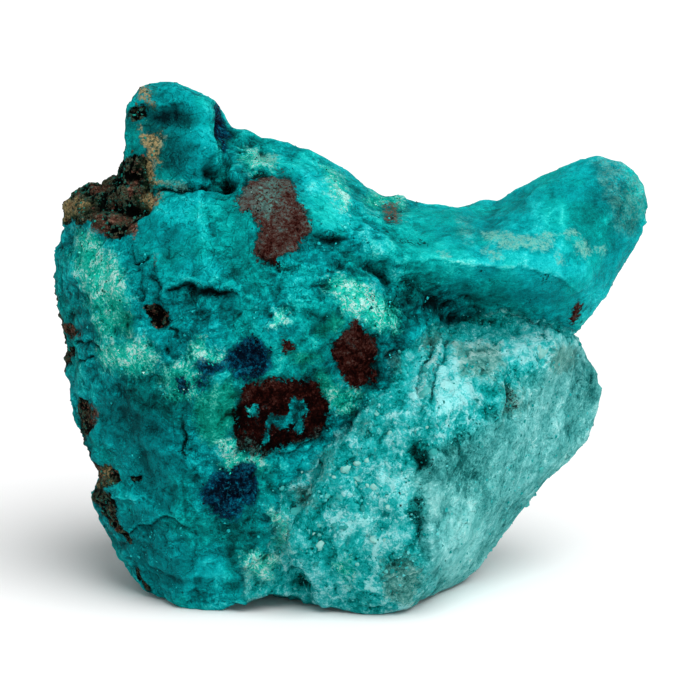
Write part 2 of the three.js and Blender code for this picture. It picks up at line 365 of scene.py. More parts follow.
# Arrises: sharp ridges; rise and width in mm.
arrises = {
    "front": [
        ([(24.9, 18.1), (25.0, 16.0), (24.9, 13.6), (24.7, 10.3)], 0.22, 1.0),
        ([(-17.3, 30.3), (-16.7, 28.0), (-16.8, 25.6), (-16.5, 22.8), (-16.2, 20.2)], 0.8, 1.4),
        ([(11.0, -4.9), (9.4, -10.6), (9.9, -14.1), (8.7, -17.6), (9.4, -22.3), (9.2, -29.4)], 0.8, 2.2),
        ([(13.0, -3.1), (14.6, -5.2), (16.0, -7.4)], 0.3, 0.7),
        ([(16.0, -7.4), (20.0, -5.9), (24.7, -2.6), (27.0, 1.2)], 0.25, 1.2),
        ([(10.8, 1.9), (10.3, -0.5), (9.3, -2.4), (8.8, -4.7), (8.7, -6.6)], 0.5, 0.7),
        ([(-18.3, -24.5), (-16.0, -24.7), (-14.6, -26.1), (-15.0, -28.0)], 0.3, 1.0),
    ],
}

# Soft hollows (above zero) and swellings (below zero): across, up, wide, tall, turn, depth in mm.
hollows = {
    "front": [
        (-21.4, 27.2, 3.5, 1.1, -4, 0.5),  # groove across the pillar
        (-16.9, 20.7, 1.4, 0.9, 0, 0.6),
        (-15.0, 26.8, 1.1, 2.0, -12, 1.4),  # blue hollow at the pillar's edge
        (-12.8, 19.7, 1.1, 0.9, 0, -1.1),  # round knob beside the pillar
        (-28.2, 16.8, 1.8, 0.7, -8, 1.2),  # holes in the rusty crust
        (-25.3, 16.6, 1.3, 0.8, 0, 1.4), (-25.6, 20.5, 1.2, 0.9, 20, 0.9),
        (-31.7, 16.7, 1.6, 1.4, 0, -0.9), (-28.8, 14.6, 1.6, 1.2, 0, -0.8),
        (-23.0, 4.0, 1.5, 1.6, 0, 1.5), (-25.9, 8.0, 2.0, 2.4, 0, -0.6),
        (-29.9, -10.6, 1.4, 2.4, 0, -0.4), (-12.9, -9.4, 1.4, 3.5, 20, 0.5),
        (-8.0, -7.3, 5.4, 4.0, 10, 0.35), (0.7, -0.7, 2.9, 3.5, 10, 0.35),
        (-12.2, -1.2, 3.1, 2.6, 0, 0.6),  # blue patches sit low
        (-13.9, -16.7, 3.5, 3.1, 0, 0.6), (19.0, -6.0, 0.9, 1.5, -20, 0.9),
        (8.0, -12.6, 1.2, 1.4, 30, 0.7), (7.8, -20.0, 1.1, 3.3, 8, 0.7), (-6.8, -17.9, 1.1, 0.9, 0, 0.5),
        (-4.5, -14.1, 0.9, 3.5, -24, -0.5),  # the lower valley is filled
        (-6.3, -20.0, 1.1, 3.5, -8, -0.6), (-16.5, -26.1, 2.4, 1.6, 0, -0.5),
        (20.6, 15.5, 4.0, 2.4, 10, 0.4), (29.4, 13.9, 3.1, 3.8, 0, 0.3), (-1.8, 12.7, 2.4, 1.1, -8, 0.5),
        (-12.6, 24.9, 1.2, 0.9, 0, -0.8), (-10.3, 23.7, 0.5, 0.9, 0, 0.5), (8.2, 7.6, 2.8, 1.4, 0, -0.4),
        (4.7, 16.2, 1.6, 1.1, 0, -0.5), (14.1, 6.1, 9.9, 1.9, 6, 0.4), (21.9, 0.0, 4.7, 2.4, 20, -0.4),
    ],
    "back": [
        (6, 2, 9, 7, 20, 1.0), (-16, -14, 8, 8, 0, 0.9), (16, -12, 7, 10, 0, 0.8),
        (-24, 12, 8, 5, 20, 0.9), (10, 20, 6, 5, 0, 0.7), (-4, -6, 6, 6, 0, -0.8),
    ],
}


def worldMesh(source):
    mesh = source.data.copy()
    work = bmesh.new()
    work.from_mesh(mesh)
    bmesh.ops.remove_doubles(work, verts=work.verts, dist=0.001 * mm)
    work.to_mesh(mesh)
    work.free()
    return mesh


def remeshed(mesh, spacing):
    holder = bpy.data.objects.new("remesh", mesh)
    bpy.context.scene.collection.objects.link(holder)
    even = holder.modifiers.new("even", "REMESH")
    even.mode = "VOXEL"
    even.voxel_size = spacing
    even.adaptivity = 0
    evaluated = holder.evaluated_get(bpy.context.evaluated_depsgraph_get())
    made = bpy.data.meshes.new_from_object(evaluated)
    bpy.data.objects.remove(holder)
    return made


def smoothed(mesh, passes):
    work = bmesh.new()
    work.from_mesh(mesh)
    for turn in range(passes):
        bmesh.ops.smooth_vert(
            work, verts=work.verts, factor=0.5, use_axis_x=True, use_axis_y=True, use_axis_z=True
        )
    work.to_mesh(mesh)
    work.free()


def pointsOf(mesh):
    flat = np.zeros(len(mesh.vertices) * 3)
    mesh.vertices.foreach_get("co", flat)
    return flat.reshape(-1, 3)


def normalsOf(mesh):
    flat = np.zeros(len(mesh.vertices) * 3)
    mesh.vertices.foreach_get("normal", flat)
    return flat.reshape(-1, 3)


def place(mesh, points):
    mesh.vertices.foreach_set("co", points.ravel())
    mesh.update()


def edgesOf(mesh):
    pairs = np.zeros(len(mesh.edges) * 2, int)
    mesh.edges.foreach_get("vertices", pairs)
    return pairs.reshape(-1, 2)


def spread(values, edges, passes):
    # evens a value out over the surface, each vertex taking its neighbours' mean
    many = np.bincount(edges.ravel(), minlength=len(values)).astype(float)
    for turn in range(passes):
        total = np.bincount(edges[:, 0], values[edges[:, 1]], len(values))
        total += np.bincount(edges[:, 1], values[edges[:, 0]], len(values))
        values = total / many
    return values


turning = {
    "frontLimit": 0.06, "sideLimit": 0.45,  # the least that ground must face a side to take its outlines
    "leaveToFront": 0.3,  # ground that faces the front more than this takes the front's outlines only
    "perFacing": 12,  # mm of distance for a full turn
}


def drawnOn(sheets, side, outline):
    # distance into an outline, cut off where the stone turns away from that side
    limit = turning["frontLimit"] if side == "front" else turning["sideLimit"]
    into = np.minimum(sheets[side].inside(outline), (sheets[side].facing - limit) * turning["perFacing"])
    if side == "front":
        return into
    return np.minimum(into, (turning["leaveToFront"] - sheets["front"].facing) * turning["perFacing"])


def refined(mesh, flags):
    # halves the edges whose two ends are both flagged
    work = bmesh.new()
    work.from_mesh(mesh)
    work.verts.ensure_lookup_table()
    chosen = [e for e in work.edges if flags[e.verts[0].index] and flags[e.verts[1].index]]
    bmesh.ops.subdivide_edges(work, edges=chosen, cuts=1, use_grid_fill=True)
    bmesh.ops.triangulate(work, faces=[f for f in work.faces if len(f.verts) > 4])
    work.to_mesh(mesh)
    work.free()


def groundMask(sheets, kind, fade):
    # 1 well inside the outlines of a kind of ground, 0 outside, with a soft edge fade mm wide
    best = np.full(len(sheets["front"].drawn), -99.0)
    for side, outlines in grounds[kind].items():
        for outline in outlines:
            best = np.maximum(best, drawnOn(sheets, side, outline))
    return smoothStep(best, -fade, fade)


def seenFrom(sheets, side):
    if side == "front":
        return smoothStep(sheets[side].facing, -0.15, 0.2)
    return smoothStep(sheets[side].facing, 0.3, 0.6) * smoothStep(sheets["front"].facing, 0.35, 0.1)


lineShape = {
    "wander": 1.4,  # mm, the scale on which lines grow wider and narrower
    "grooveCurve": 1.3,  # above 1 makes a cleft a sharp V
    "cleftEnds": 7, "cleftStub": 0.15, "ledgeEnds": 4, "arrisEnds": 5,  # how soon a line tapers at its ends
    "cleftShadeFrom": 1.1, "cleftShadeTo": 0.5,  # mm from a cleft's middle
    "ledgeEdge": 0.12, "wearAndHighlightWidth": 0.3,  # mm
    "fineByLedge": 0.6, "fineByArris": 0.4,  # mm beside a line where the mesh is refined
}


def tapered(share, ends, stub=0.0):
    # fades a line out towards both of its ends
    return np.clip(np.minimum(share, 1 - share) * ends + stub, 0, 1)


def carve(points, sheets):
    # how far each point goes in, the cracks as a signed distance with a strength, and where detail is fine
    shape = lineShape
    inwards, worn = np.zeros(len(points)), np.zeros(len(points))
    crackSide, crackDark = np.full(len(points), 2.0), np.zeros(len(points))
    busy = np.zeros(len(points), bool)
    ragged = noiseAt(points, shape["wander"], 2, 51.0)
    for side, sheet in sheets.items():
        seen = seenFrom(sheets, side)
        for line, width, depth, cleftShade in clefts.get(side, []):
            away, left, share = sheet.fromLine(line)
            taper = tapered(share, shape["cleftEnds"], shape["cleftStub"]) * seen
            groove = np.clip(1 - away / (width * (1 + 0.5 * ragged)), 0, 1) ** shape["grooveCurve"]
            inwards += depth * groove * taper * (1 + 0.6 * ragged)
            # painted shade in the cleft, darkest along its middle
            dark = cleftShade * smoothStep(away, shape["cleftShadeFrom"], shape["cleftShadeTo"]) * taper
            darker = dark > crackDark
            crackSide[darker], crackDark[darker] = left[darker], dark[darker]
        for line, rise, reach in ledges.get(side, []):
            away, left, share = sheet.fromLine(line)
            taper = tapered(share, shape["ledgeEnds"]) * seen
            step = smoothStep(left, -shape["ledgeEdge"], shape["ledgeEdge"])
            inwards -= rise * np.exp(-away / reach) * step * taper
            # painted highlight, and wear, along the proud side of a ledge
            worn = np.maximum(worn, np.exp(-away / shape["wearAndHighlightWidth"]) * (left > 0) * (rise > 0) * taper)
            busy |= (away < shape["fineByLedge"]) & (taper > 0.1)
        for line, rise, width in arrises.get(side, []):
            away, left, share = sheet.fromLine(line)
            taper = tapered(share, shape["arrisEnds"]) * seen
            inwards -= rise * np.exp(-away / width) * taper * (1 + 0.5 * ragged)
            # painted highlight, and wear, along an arris
            worn = np.maximum(worn, np.exp(-away / shape["wearAndHighlightWidth"]) * taper)
            busy |= (away < shape["fineByArris"]) & (taper > 0.1)
        for across, up, wide, tall, turn, depth in hollows.get(side, []):
            inwards += depth * sheet.spot(across, up, wide, tall, turn) * seen
    return inwards, crackSide, crackDark, worn, busy | (crackDark > 0.02)


def sheetsFor(mesh):
    # the stone as seen from every side, with its points pushed about so that drawn outlines come out ragged
    shape = stoneShape
    points, edges = pointsOf(mesh), edgesOf(mesh)
    normals = np.stack([spread(n, edges, 4) for n in normalsOf(mesh).T], 1)
    normals /= np.linalg.norm(normals, axis=1)[:, None]
    warp = np.stack([noiseAt(points, shape["warpSize"], 2, offset) for offset in (11.0, 37.0, 71.0)], 1)
    sheets = {}
    for side in sides:
        bend = shape["frontWarp"] if side == "front" else shape["sideWarp"]
        sheets[side] = Sheet(side, points + warp * bend * mm, normals)
    return points, edges, normals, warp, sheets


def shapeStone():
    shape = stoneShape
    mesh = remeshed(worldMesh(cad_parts["chrysocolla_stone"]), shape["grain"] * mm)
    smoothed(mesh, shape["roundPasses"])
    points, edges, normals, warp, sheets = sheetsFor(mesh)
    refined(mesh, carve(points, sheets)[-1] | (groundMask(sheets, "crust", 0.5) > 0.1))
    points, edges, normals, warp, sheets = sheetsFor(mesh)
    print("remeshed", len(points), "points")
    sandy = groundMask(sheets, "sandy", 1.2)
    horn = groundMask(sheets, "horn", 2.0) * (1 - sandy)
    crust = groundMask(sheets, "crust", 0.5)
    smoothSand = groundMask(sheets, "smoothSand", 1.5)
    calm = np.maximum(groundMask(sheets, "calm", 2.0), 0.8 * horn)
    print("grounds are marked out")

    # every pattern is raised by its own height, and less where the ground is smoother
    inwards, crackSide, crackDark, worn = carve(points, sheets)[:4]
    rough = 1 - np.maximum(0.8 * horn, 0.5 * smoothSand)
    sandSmooth = 1 - 0.6 * smoothSand
    ridges = ridgesAt(points, shape["ridgeSize"], 3, 5.0) - 1.0
    waves = noiseAt(points, shape["waveSize"], 3)
    chips = noiseAt(points, shape["chipSize"], 4, 9.0)
    bedding = noiseAt(points * np.array([0.3, 0.5, 1.3]), shape["beddingSize"], 2, 61.0)
    facets = flakesAt(points + warp * 0.4 * mm, shape["facetSize"], 21.0)
    flakes = flakesAt(points + warp * 0.2 * mm, shape["flakeSize"], 33.0)
    scales = flakesAt(points, shape["scaleSize"], 45.0)
    slanted = points @ np.array([[0.9, 0, 0.5], [0, 1, 0], [-0.25, 0, 0.45]])
    folds = flakesAt(slanted + warp * 0.5 * mm, shape["foldSize"], 91.0)
    pebbles = lumpsAt(points + warp * 0.25 * mm, shape["pebbleSize"], 3.0) - 0.55
    lumps = lumpsAt(points + warp * 0.3 * mm, shape["crustSize"], 17.0)
    broken = smoothStep(noiseAt(points, 1.8, 2, 83.0), -0.35, 0.35)
    crumbs = lumpsAt(points, shape["crumbSize"], 29.0)
    raised = -inwards
    raised += ridges * shape["ridgeHeight"] * rough
    raised += waves * shape["waveHeight"] * rough
    raised += chips * shape["chipHeight"] * rough
    raised += bedding * shape["beddingHeight"] * rough * (1 - sandy) * (1 - 0.5 * calm)
    raised += facets * shape["facetHeight"] * rough
    raised += flakes * shape["flakeHeight"] * (1 - 0.75 * calm) * sandSmooth
    raised += scales * shape["scaleHeight"] * (1 - 0.75 * calm) * sandSmooth
    raised += folds * shape["foldHeight"] * sandy * (1 - 0.65 * smoothSand)
    raised += pebbles * shape["pebbleHeight"] * sandy * (1 - 0.9 * smoothSand)
    raised += (lumps * (0.35 + 0.65 * broken) - 0.6) * shape["crustHeight"] * crust
    raised += crumbs * shape["crumbHeight"] * crust
    flat = smoothStep(points[:, 2] / mm, 0.05, shape["standing"])
    moved = points + normals * (raised * flat)[:, None] * mm
    moved[:, 2] = np.maximum(moved[:, 2], 0)
    moved = np.clip(moved, np.array(cadLow), np.array(cadHigh))
    place(mesh, moved)
    print("sculpted")

    # what the finish reads: the kinds of ground, and how hollow or proud each point is at two scales
    smoothNormals = normalsOf(mesh)
    kept = {"sandy": sandy, "smoothSand": smoothSand, "horn": horn, "crust": crust, "calm": calm}
    kept.update({"crackSide": crackSide, "crackDark": crackDark, "worn": worn})
    # the finish paints shade into the hollows and light onto the proud points from these
    for name, passes in (("fineHollow", 3), ("broadHollow", 30)):
        lowered = np.stack([spread(c, edges, passes) for c in moved.T], 1) - moved
        kept[name] = np.einsum("ij,ij->i", lowered, smoothNormals) / mm
    return mesh, sheets, kept


# Minerals as closed outlines on a side; each becomes an attribute, the distance into its outline in mm.
minerals = {}
minerals["cuprite"] = {
    "front": [
        [(-13.2, 17.4), (-12.6, 18.6), (-11.4, 19.6), (-10.1, 20.5), (-8.7, 20.2), (-7.8, 20.6),
         (-6.7, 19.9), (-5.9, 17.9), (-5.2, 16.2), (-4.9, 13.6), (-5.6, 12.6), (-7.8, 11.4), (-9.2, 10.0),
         (-10.9, 10.7), (-11.0, 11.6), (-10.6, 12.7), (-10.9, 13.6), (-10.5, 14.7), (-11.5, 16.2),
         (-12.6, 16.0)],
        [(0.5, 3.4), (2.0, 2.4), (3.1, 0.9), (3.3, -0.9), (3.1, -2.8), (2.1, -4.1), (0.5, -3.8),
         (-0.9, -2.7), (-2.2, -0.9), (-2.0, 1.2), (-0.6, 2.2)],
        [(-12.7, -4.2), (-11.0, -3.9), (-9.3, -3.5), (-7.8, -3.9), (-6.3, -3.3), (-3.5, -4.0),
         (-2.8, -5.9), (-2.2, -7.8), (-2.7, -9.2), (-4.5, -10.2), (-7.1, -10.7), (-8.2, -11.8),
         (-10.3, -12.3), (-13.4, -12.3), (-13.3, -10.6), (-13.5, -7.3), (-12.8, -5.9)],
        [(26.8, 5.4), (27.4, 4.8), (26.8, 3.8), (26.0, 3.8), (26.2, 4.7)],
        [(-7.6, 1.1), (-6.8, 0.9), (-6.7, 0.0), (-7.4, -0.4)],
    ],
    "back": [
        [(12, 12), (16, 14), (20, 12), (21, 7), (18, 4), (13, 5), (11, 8)],
        [(-6, 4), (-2, 5), (1, 3), (0, -1), (-5, -1)],
    ],
    "left": [[(-6, 6), (-3, 7), (-2, 4), (-5, 3)]],
}
minerals["window"] = {  # turquoise showing through a brown patch
    "front": [
        [(-7.5, -6.6), (-6.8, -5.6), (-5.4, -5.9), (-5.2, -7.4), (-5.5, -9.1), (-6.3, -9.4), (-6.9, -8.7),
         (-7.8, -9.3), (-8.9, -8.8), (-8.7, -7.8), (-7.6, -7.6)],
        [(-10.1, -8.0), (-9.3, -7.2), (-8.9, -8.0), (-9.5, -8.9), (-9.3, -10.2), (-9.5, -11.3),
         (-10.5, -11.3), (-10.1, -10.1)],
        [(-12.2, -6.9), (-11.5, -6.6), (-10.9, -7.2), (-11.2, -8.0), (-12.0, -8.0)],
    ],
}
minerals["azurite"] = {
    "front": [
        [(-14.6, -0.8), (-13.9, 0.2), (-12.8, 1.3), (-11.5, 1.5), (-10.2, 0.5), (-9.4, -0.8), (-9.6, -2.2),
         (-10.3, -3.4), (-11.6, -3.8), (-12.9, -3.3), (-14.3, -2.2)],
        [(-17.9, -1.8), (-16.6, -1.1), (-15.0, -1.4), (-14.8, -2.2), (-16.1, -2.7), (-17.4, -2.6)],
        [(-21.0, -3.3), (-19.7, -3.1), (-18.8, -4.0), (-19.5, -5.2), (-20.5, -4.9)],
        [(-18.6, -3.2), (-17.2, -2.9), (-16.9, -4.2), (-18.3, -4.7)],
        [(-17.5, -16.7), (-17.0, -15.4), (-16.1, -14.3), (-15.0, -13.6), (-14.2, -14.3), (-13.2, -13.8),
         (-12.0, -13.4), (-10.9, -14.2), (-10.5, -15.5), (-10.8, -17.2), (-11.3, -18.0), (-12.3, -17.8),
         (-12.8, -19.0), (-13.9, -19.9), (-15.5, -19.7), (-16.8, -18.8)],
        [(-16.3, 28.9), (-15.0, 29.0), (-14.1, 27.3), (-13.9, 25.4), (-14.7, 24.5), (-15.8, 24.9),
         (-16.3, 26.3)],
        [(-15.0, 24.2), (-14.5, 24.3), (-14.3, 23.4), (-14.9, 22.9)],
    ],
    "back": [
        [(-18, 2), (-14, 4), (-11, 1), (-12, -4), (-17, -5), (-20, -2)],
        [(8, -8), (11, -7), (12, -10), (9, -11)],
    ],
}
minerals["malachite"] = {
    "front": [
        [(-18.6, -5.6), (-16.1, -4.3), (-14.1, -3.3), (-13.0, -4.9), (-13.2, -7.3), (-13.9, -9.2),
         (-14.6, -10.6), (-16.2, -11.3), (-17.5, -10.2), (-18.5, -8.5)],
        [(-28.0, 6.6), (-25.9, 4.9), (-25.5, 3.1), (-26.2, 1.4), (-27.7, 2.8), (-28.3, 4.9)],
        [(-3.3, 3.8), (-1.9, 4.5), (-0.2, 3.8), (-0.9, 2.4), (-2.6, 1.9), (-3.8, 2.6)],
        [(-3.5, -2.6), (-1.9, -3.1), (-0.5, -4.9), (-2.4, -5.9), (-3.8, -4.9)],
        [(-7.1, -0.7), (-4.7, -0.2), (-3.3, -1.2), (-5.4, -2.4)],
        [(-32.0, 13.4), (-30.3, 12.2), (-29.6, 10.3), (-30.6, 9.2), (-31.7, 10.8)],
    ],
    "back": [
        [(-16, -6), (-10, -5), (-8, -10), (-12, -14), (-18, -12)],
        [(20, 4), (24, 5), (25, -1), (21, -2)],
    ],
}
minerals["wisps"] = {  # white and cream fibres
    "front": [
        [(-31.7, 13.9), (-29.9, 13.4), (-28.9, 11.3), (-27.7, 10.1), (-26.6, 8.5), (-26.1, 6.1),
         (-27.2, 4.0), (-27.9, 1.6), (-29.5, 2.8), (-30.3, 4.9), (-31.2, 7.5), (-32.0, 10.3)],
        [(-29.2, 0.2), (-26.8, 0.9), (-24.2, 0.9), (-23.3, -0.9), (-24.9, -2.5), (-26.8, -2.2),
         (-28.4, -1.3)],
        [(-18.7, 0.4), (-17.5, 1.1), (-16.2, -0.1), (-14.6, -0.7), (-16.1, -1.6), (-18.5, -1.2)],
        [(-21.4, -2.6), (-18.8, -2.1), (-17.6, -3.1), (-18.8, -5.6), (-20.7, -5.4)],
        [(-14.8, -13.3), (-13.9, -12.0), (-12.5, -12.5), (-10.8, -12.2), (-10.3, -13.9), (-11.5, -13.6),
         (-12.5, -13.2), (-13.8, -14.3), (-14.6, -13.9)],
        [(-2.1, 8.5), (0.6, 8.2), (3.1, 6.9), (4.9, 4.9), (5.3, 3.4), (4.1, 2.2), (2.5, 2.9), (0.8, 4.5),
         (-0.8, 5.9), (-1.9, 6.9)],
        [(-1.8, -4.9), (0.2, -4.5), (1.2, -5.4), (-0.5, -6.8), (-2.4, -6.6)],
        [(4.5, 18.1), (5.9, 17.2), (5.6, 16.5), (3.5, 16.9), (1.9, 17.4), (2.6, 18.1)],
        [(-12.5, 22.6), (-10.8, 23.0), (-9.4, 22.3), (-10.3, 21.4), (-11.8, 21.4)],
        [(-2.8, 21.4), (-1.9, 20.5), (-0.7, 18.3), (-0.5, 16.9), (-1.6, 18.1)],
    ],
    "back": [[(14, 0), (20, 3), (24, -2), (20, -9), (14, -8)], [(-28, 12), (-22, 14), (-19, 9), (-26, 7)]],
    "left": [[(-10, 8), (-4, 10), (-2, 2), (-8, -2)]],
}
minerals["whiter"] = {  # where the fibres turn white
    "front": [
        [(-2.1, 8.5), (0.6, 8.2), (3.1, 6.9), (4.9, 4.9), (5.3, 3.4), (4.1, 2.2), (2.5, 2.9), (0.8, 4.5),
         (-0.8, 5.9), (-1.9, 6.9)],
        [(-30.3, 12.9), (-28.9, 11.5), (-27.7, 9.2), (-27.3, 6.6), (-28.4, 5.9), (-29.6, 8.2)],
        [(-29.2, 0.5), (-26.8, 0.9), (-24.2, 0.7), (-23.5, -0.9), (-25.2, -2.4), (-27.3, -1.9)],
        [(-18.7, 0.6), (-17.3, 1.1), (-16.0, -0.1), (-14.8, -0.7), (-16.7, -1.4), (-18.5, -0.9)],
        [(-14.8, -13.4), (-13.6, -11.8), (-12.2, -12.5), (-10.8, -12.0), (-10.3, -13.6), (-12.0, -13.4),
         (-13.2, -14.1)],
        [(-15.0, -11.0), (-13.9, -10.3), (-12.9, -10.8), (-13.4, -11.8), (-14.6, -12.0)],
        [(-9.3, -18.9), (-8.0, -18.9), (-7.1, -20.9), (-7.4, -23.3), (-8.5, -22.3)],
        [(-12.1, -24.2), (-10.3, -23.7), (-8.9, -24.9), (-9.6, -26.6), (-11.5, -26.3)],
        [(-9.1, 4.6), (-8.0, 4.6), (-7.8, 2.9), (-8.8, 2.7)],
        [(-1.2, -25.4), (0.2, -24.9), (0.0, -26.3), (-0.9, -26.6)],
    ],
    "back": [[(-27, 12), (-22, 13), (-20, 9), (-25, 8)], [(15, 0), (19, 2), (22, -3), (18, -6)]],
}
minerals["speckled"] = {  # pale grey-green, broken into grains
    "front": [
        [(28.9, 22.6), (32.0, 22.8), (34.4, 21.2), (35.5, 18.6), (34.7, 15.8), (33.1, 13.4), (31.5, 15.0),
         (30.1, 18.1), (29.2, 20.2)],
        [(12.5, 15.2), (13.6, 15.2), (14.3, 14.0), (14.1, 12.9), (12.9, 13.4)],
        [(10.2, 1.4), (11.4, 1.4), (10.9, -0.9), (9.9, -3.1), (9.3, -6.3), (8.2, -6.3), (8.7, -2.6),
         (9.8, -0.7)],
        [(4.9, -0.7), (6.1, -0.9), (5.9, -2.8), (4.8, -2.6)],
        [(0.7, -8.2), (2.6, -8.2), (2.6, -9.8), (0.7, -9.8)],
        [(-9.6, -18.3), (-7.5, -18.6), (-6.6, -20.9), (-7.1, -24.7), (-8.7, -24.7), (-9.4, -21.2)],
        [(-12.5, -24.7), (-8.7, -23.7), (-8.9, -27.3), (-12.2, -27.3)],
        [(-3.8, -11.8), (-1.9, -12.0), (-1.9, -15.3), (-3.5, -15.0)],
    ],
    "back": [[(-34, 22), (-30, 26), (-27, 18), (-31, 14)], [(6, 2), (10, 3), (11, -2), (7, -3)]],
}
minerals["paler"] = {
    "front": [
        [(10.6, 0.2), (13.2, 1.4), (14.1, 0.0), (13.4, -1.9), (13.2, -3.5), (15.0, -5.6), (14.1, -6.3),
         (11.8, -6.8), (9.4, -8.2), (9.6, -5.9), (10.3, -3.1)],
        [(5.9, -0.2), (8.7, 0.5), (8.7, -2.6), (8.2, -5.9), (8.5, -8.0), (7.1, -8.7), (6.3, -4.0),
         (5.6, -1.9)],
        [(17.6, 0.7), (21.2, 1.2), (23.3, 0.0), (22.8, -1.6), (20.0, -2.1), (18.1, -1.2)],
        [(18.6, 2.8), (22.3, 2.8), (24.9, 1.9), (24.2, 0.7), (21.2, 1.2)],
        [(-0.6, -20.0), (1.2, -18.6), (2.8, -19.3), (2.8, -21.2), (1.2, -22.9), (-1.2, -23.7),
         (-1.6, -22.3)],
        [(3.3, -14.1), (5.9, -14.3), (7.3, -16.5), (6.8, -19.0), (5.4, -17.6), (4.0, -16.5)],
        [(-4.0, -24.7), (-2.4, -24.9), (-2.8, -26.8), (-4.2, -27.5), (-5.2, -26.6)],
        [(10.6, -20.0), (14.8, -17.6), (16.0, -22.3), (11.8, -27.0), (10.1, -24.2)],
        [(2.1, -10.1), (4.9, -10.6), (5.9, -12.0), (4.0, -13.2), (1.9, -12.0)],
        [(-5.9, 23.5), (-3.8, 22.6), (-2.1, 20.2), (0.0, 16.9), (-0.2, 14.6), (-2.4, 16.2), (-4.9, 19.0),
         (-7.1, 21.9)],
        [(0.2, 13.9), (4.0, 13.2), (5.9, 11.8), (3.1, 11.3), (0.7, 12.2)],
        [(-11.5, 23.3), (-7.8, 23.3), (-7.1, 21.6), (-9.6, 20.9), (-11.8, 21.9)],
        [(-23.5, 16.9), (-18.1, 17.6), (-14.6, 16.9), (-16.9, 15.0), (-21.2, 14.6)],
        [(-18.1, -24.9), (-15.3, -25.2), (-15.0, -27.7), (-16.9, -28.0)],
        [(-3.5, 10.3), (-1.2, 9.4), (0.7, 7.8), (-1.2, 6.8), (-2.8, 8.2)],
        [(-12.9, 17.6), (-11.8, 19.3), (-9.6, 19.7), (-8.7, 18.3), (-9.4, 16.2), (-11.3, 16.0)],
    ],
    "back": [[(-20, 14), (-12, 16), (-8, 11), (-16, 9)], [(4, -2), (12, 0), (14, -8), (7, -11), (3, -7)]],
}
# darker patches; five of them are painted shade
minerals["deeper"] = {
    "front": [
        [(-26.1, 9.4), (-25.4, 10.3), (-24.5, 10.3), (-24.5, 6.3), (-25.4, 6.8), (-26.8, 7.8)],
        [(-24.2, 10.1), (-22.3, 9.4), (-22.8, 7.5), (-24.0, 7.8)],
        # these three are painted shade: the dent under the shoulder's overhang and the left end of the
        # recess under the horn
        [(-3.8, 12.2), (-2.4, 13.2), (-0.2, 13.6), (0.0, 12.7), (-1.6, 11.5), (-3.8, 11.0)],
        [(-0.7, 11.5), (3.3, 10.3), (3.8, 8.0), (0.2, 9.2), (-2.4, 10.1)],
        [(4.0, 5.9), (5.9, 6.1), (6.8, 2.4), (5.2, 1.4)],
        [(-5.9, 5.9), (-3.8, 5.6), (-3.5, 3.5), (-5.4, 3.3)],
        [(10.6, -10.6), (12.5, -10.8), (13.2, -12.5), (11.3, -12.5)],
        [(12.9, -8.9), (14.6, -8.7), (15.0, -10.1), (13.6, -10.6)],
        [(12.0, -15.3), (13.6, -16.2), (13.6, -17.9), (12.2, -17.2)],
        [(15.3, -6.3), (17.6, -6.3), (17.6, -8.2), (16.0, -8.0)],
        [(9.6, -13.2), (13.2, -13.6), (15.3, -14.6), (11.8, -15.8), (8.7, -15.3)],
        [(25.6, -3.3), (26.3, -3.5), (27.0, -5.6), (26.1, -5.6)],
        [(27.0, -2.4), (28.4, -4.0), (28.9, -6.1), (27.5, -4.9)],
        [(27.3, -8.2), (28.7, -7.3), (28.4, -9.4), (27.0, -10.3)],
        [(-10.3, -14.1), (-7.8, -14.8), (-7.5, -16.9), (-9.9, -17.6)],
        [(-11.8, -17.6), (-8.0, -17.9), (-9.2, -19.0), (-9.6, -22.3), (-12.0, -23.3), (-13.4, -21.2)],
        [(-4.7, -22.8), (-3.1, -22.3), (-3.8, -25.4), (-5.2, -24.7)],
        [(-2.4, -14.1), (0.2, -14.8), (-0.7, -16.0), (-2.4, -15.8)],
        [(0.0, -15.3), (3.1, -14.1), (2.6, -16.0), (0.5, -16.9)],
        [(3.5, -11.3), (5.6, -12.0), (4.9, -13.4), (3.3, -12.5)],
        [(2.6, -24.7), (6.3, -23.3), (7.3, -24.7), (4.0, -26.1)],
        # these two are painted shade: a hollow low on the pillar and the groove across it
        [(-17.6, 22.3), (-16.2, 22.1), (-15.8, 19.5), (-17.2, 19.7)],
        [(-22.3, 28.0), (-18.6, 28.0), (-18.8, 25.9), (-21.6, 25.9)],
        [(-34.1, 13.4), (-32.4, 13.2), (-32.4, 10.3), (-34.1, 10.3)],
        [(-16.2, 11.8), (-13.2, 11.0), (-12.2, 8.2), (-15.0, 8.2)],
        [(-20.5, 3.3), (-16.9, 2.8), (-16.5, 1.2), (-19.7, 0.9)],
        [(-10.8, 13.4), (-8.9, 13.9), (-6.3, 13.2), (-6.3, 11.5), (-9.2, 10.3), (-10.8, 10.8)],
        [(-8.5, 18.8), (-6.3, 19.3), (-5.4, 16.0), (-5.4, 13.2), (-7.5, 13.4), (-8.7, 16.2)],
    ],
    "back": [[(-26, 2), (-18, 4), (-16, -4), (-24, -5)], [(18, 14), (24, 12), (22, 6), (16, 8)]],
}
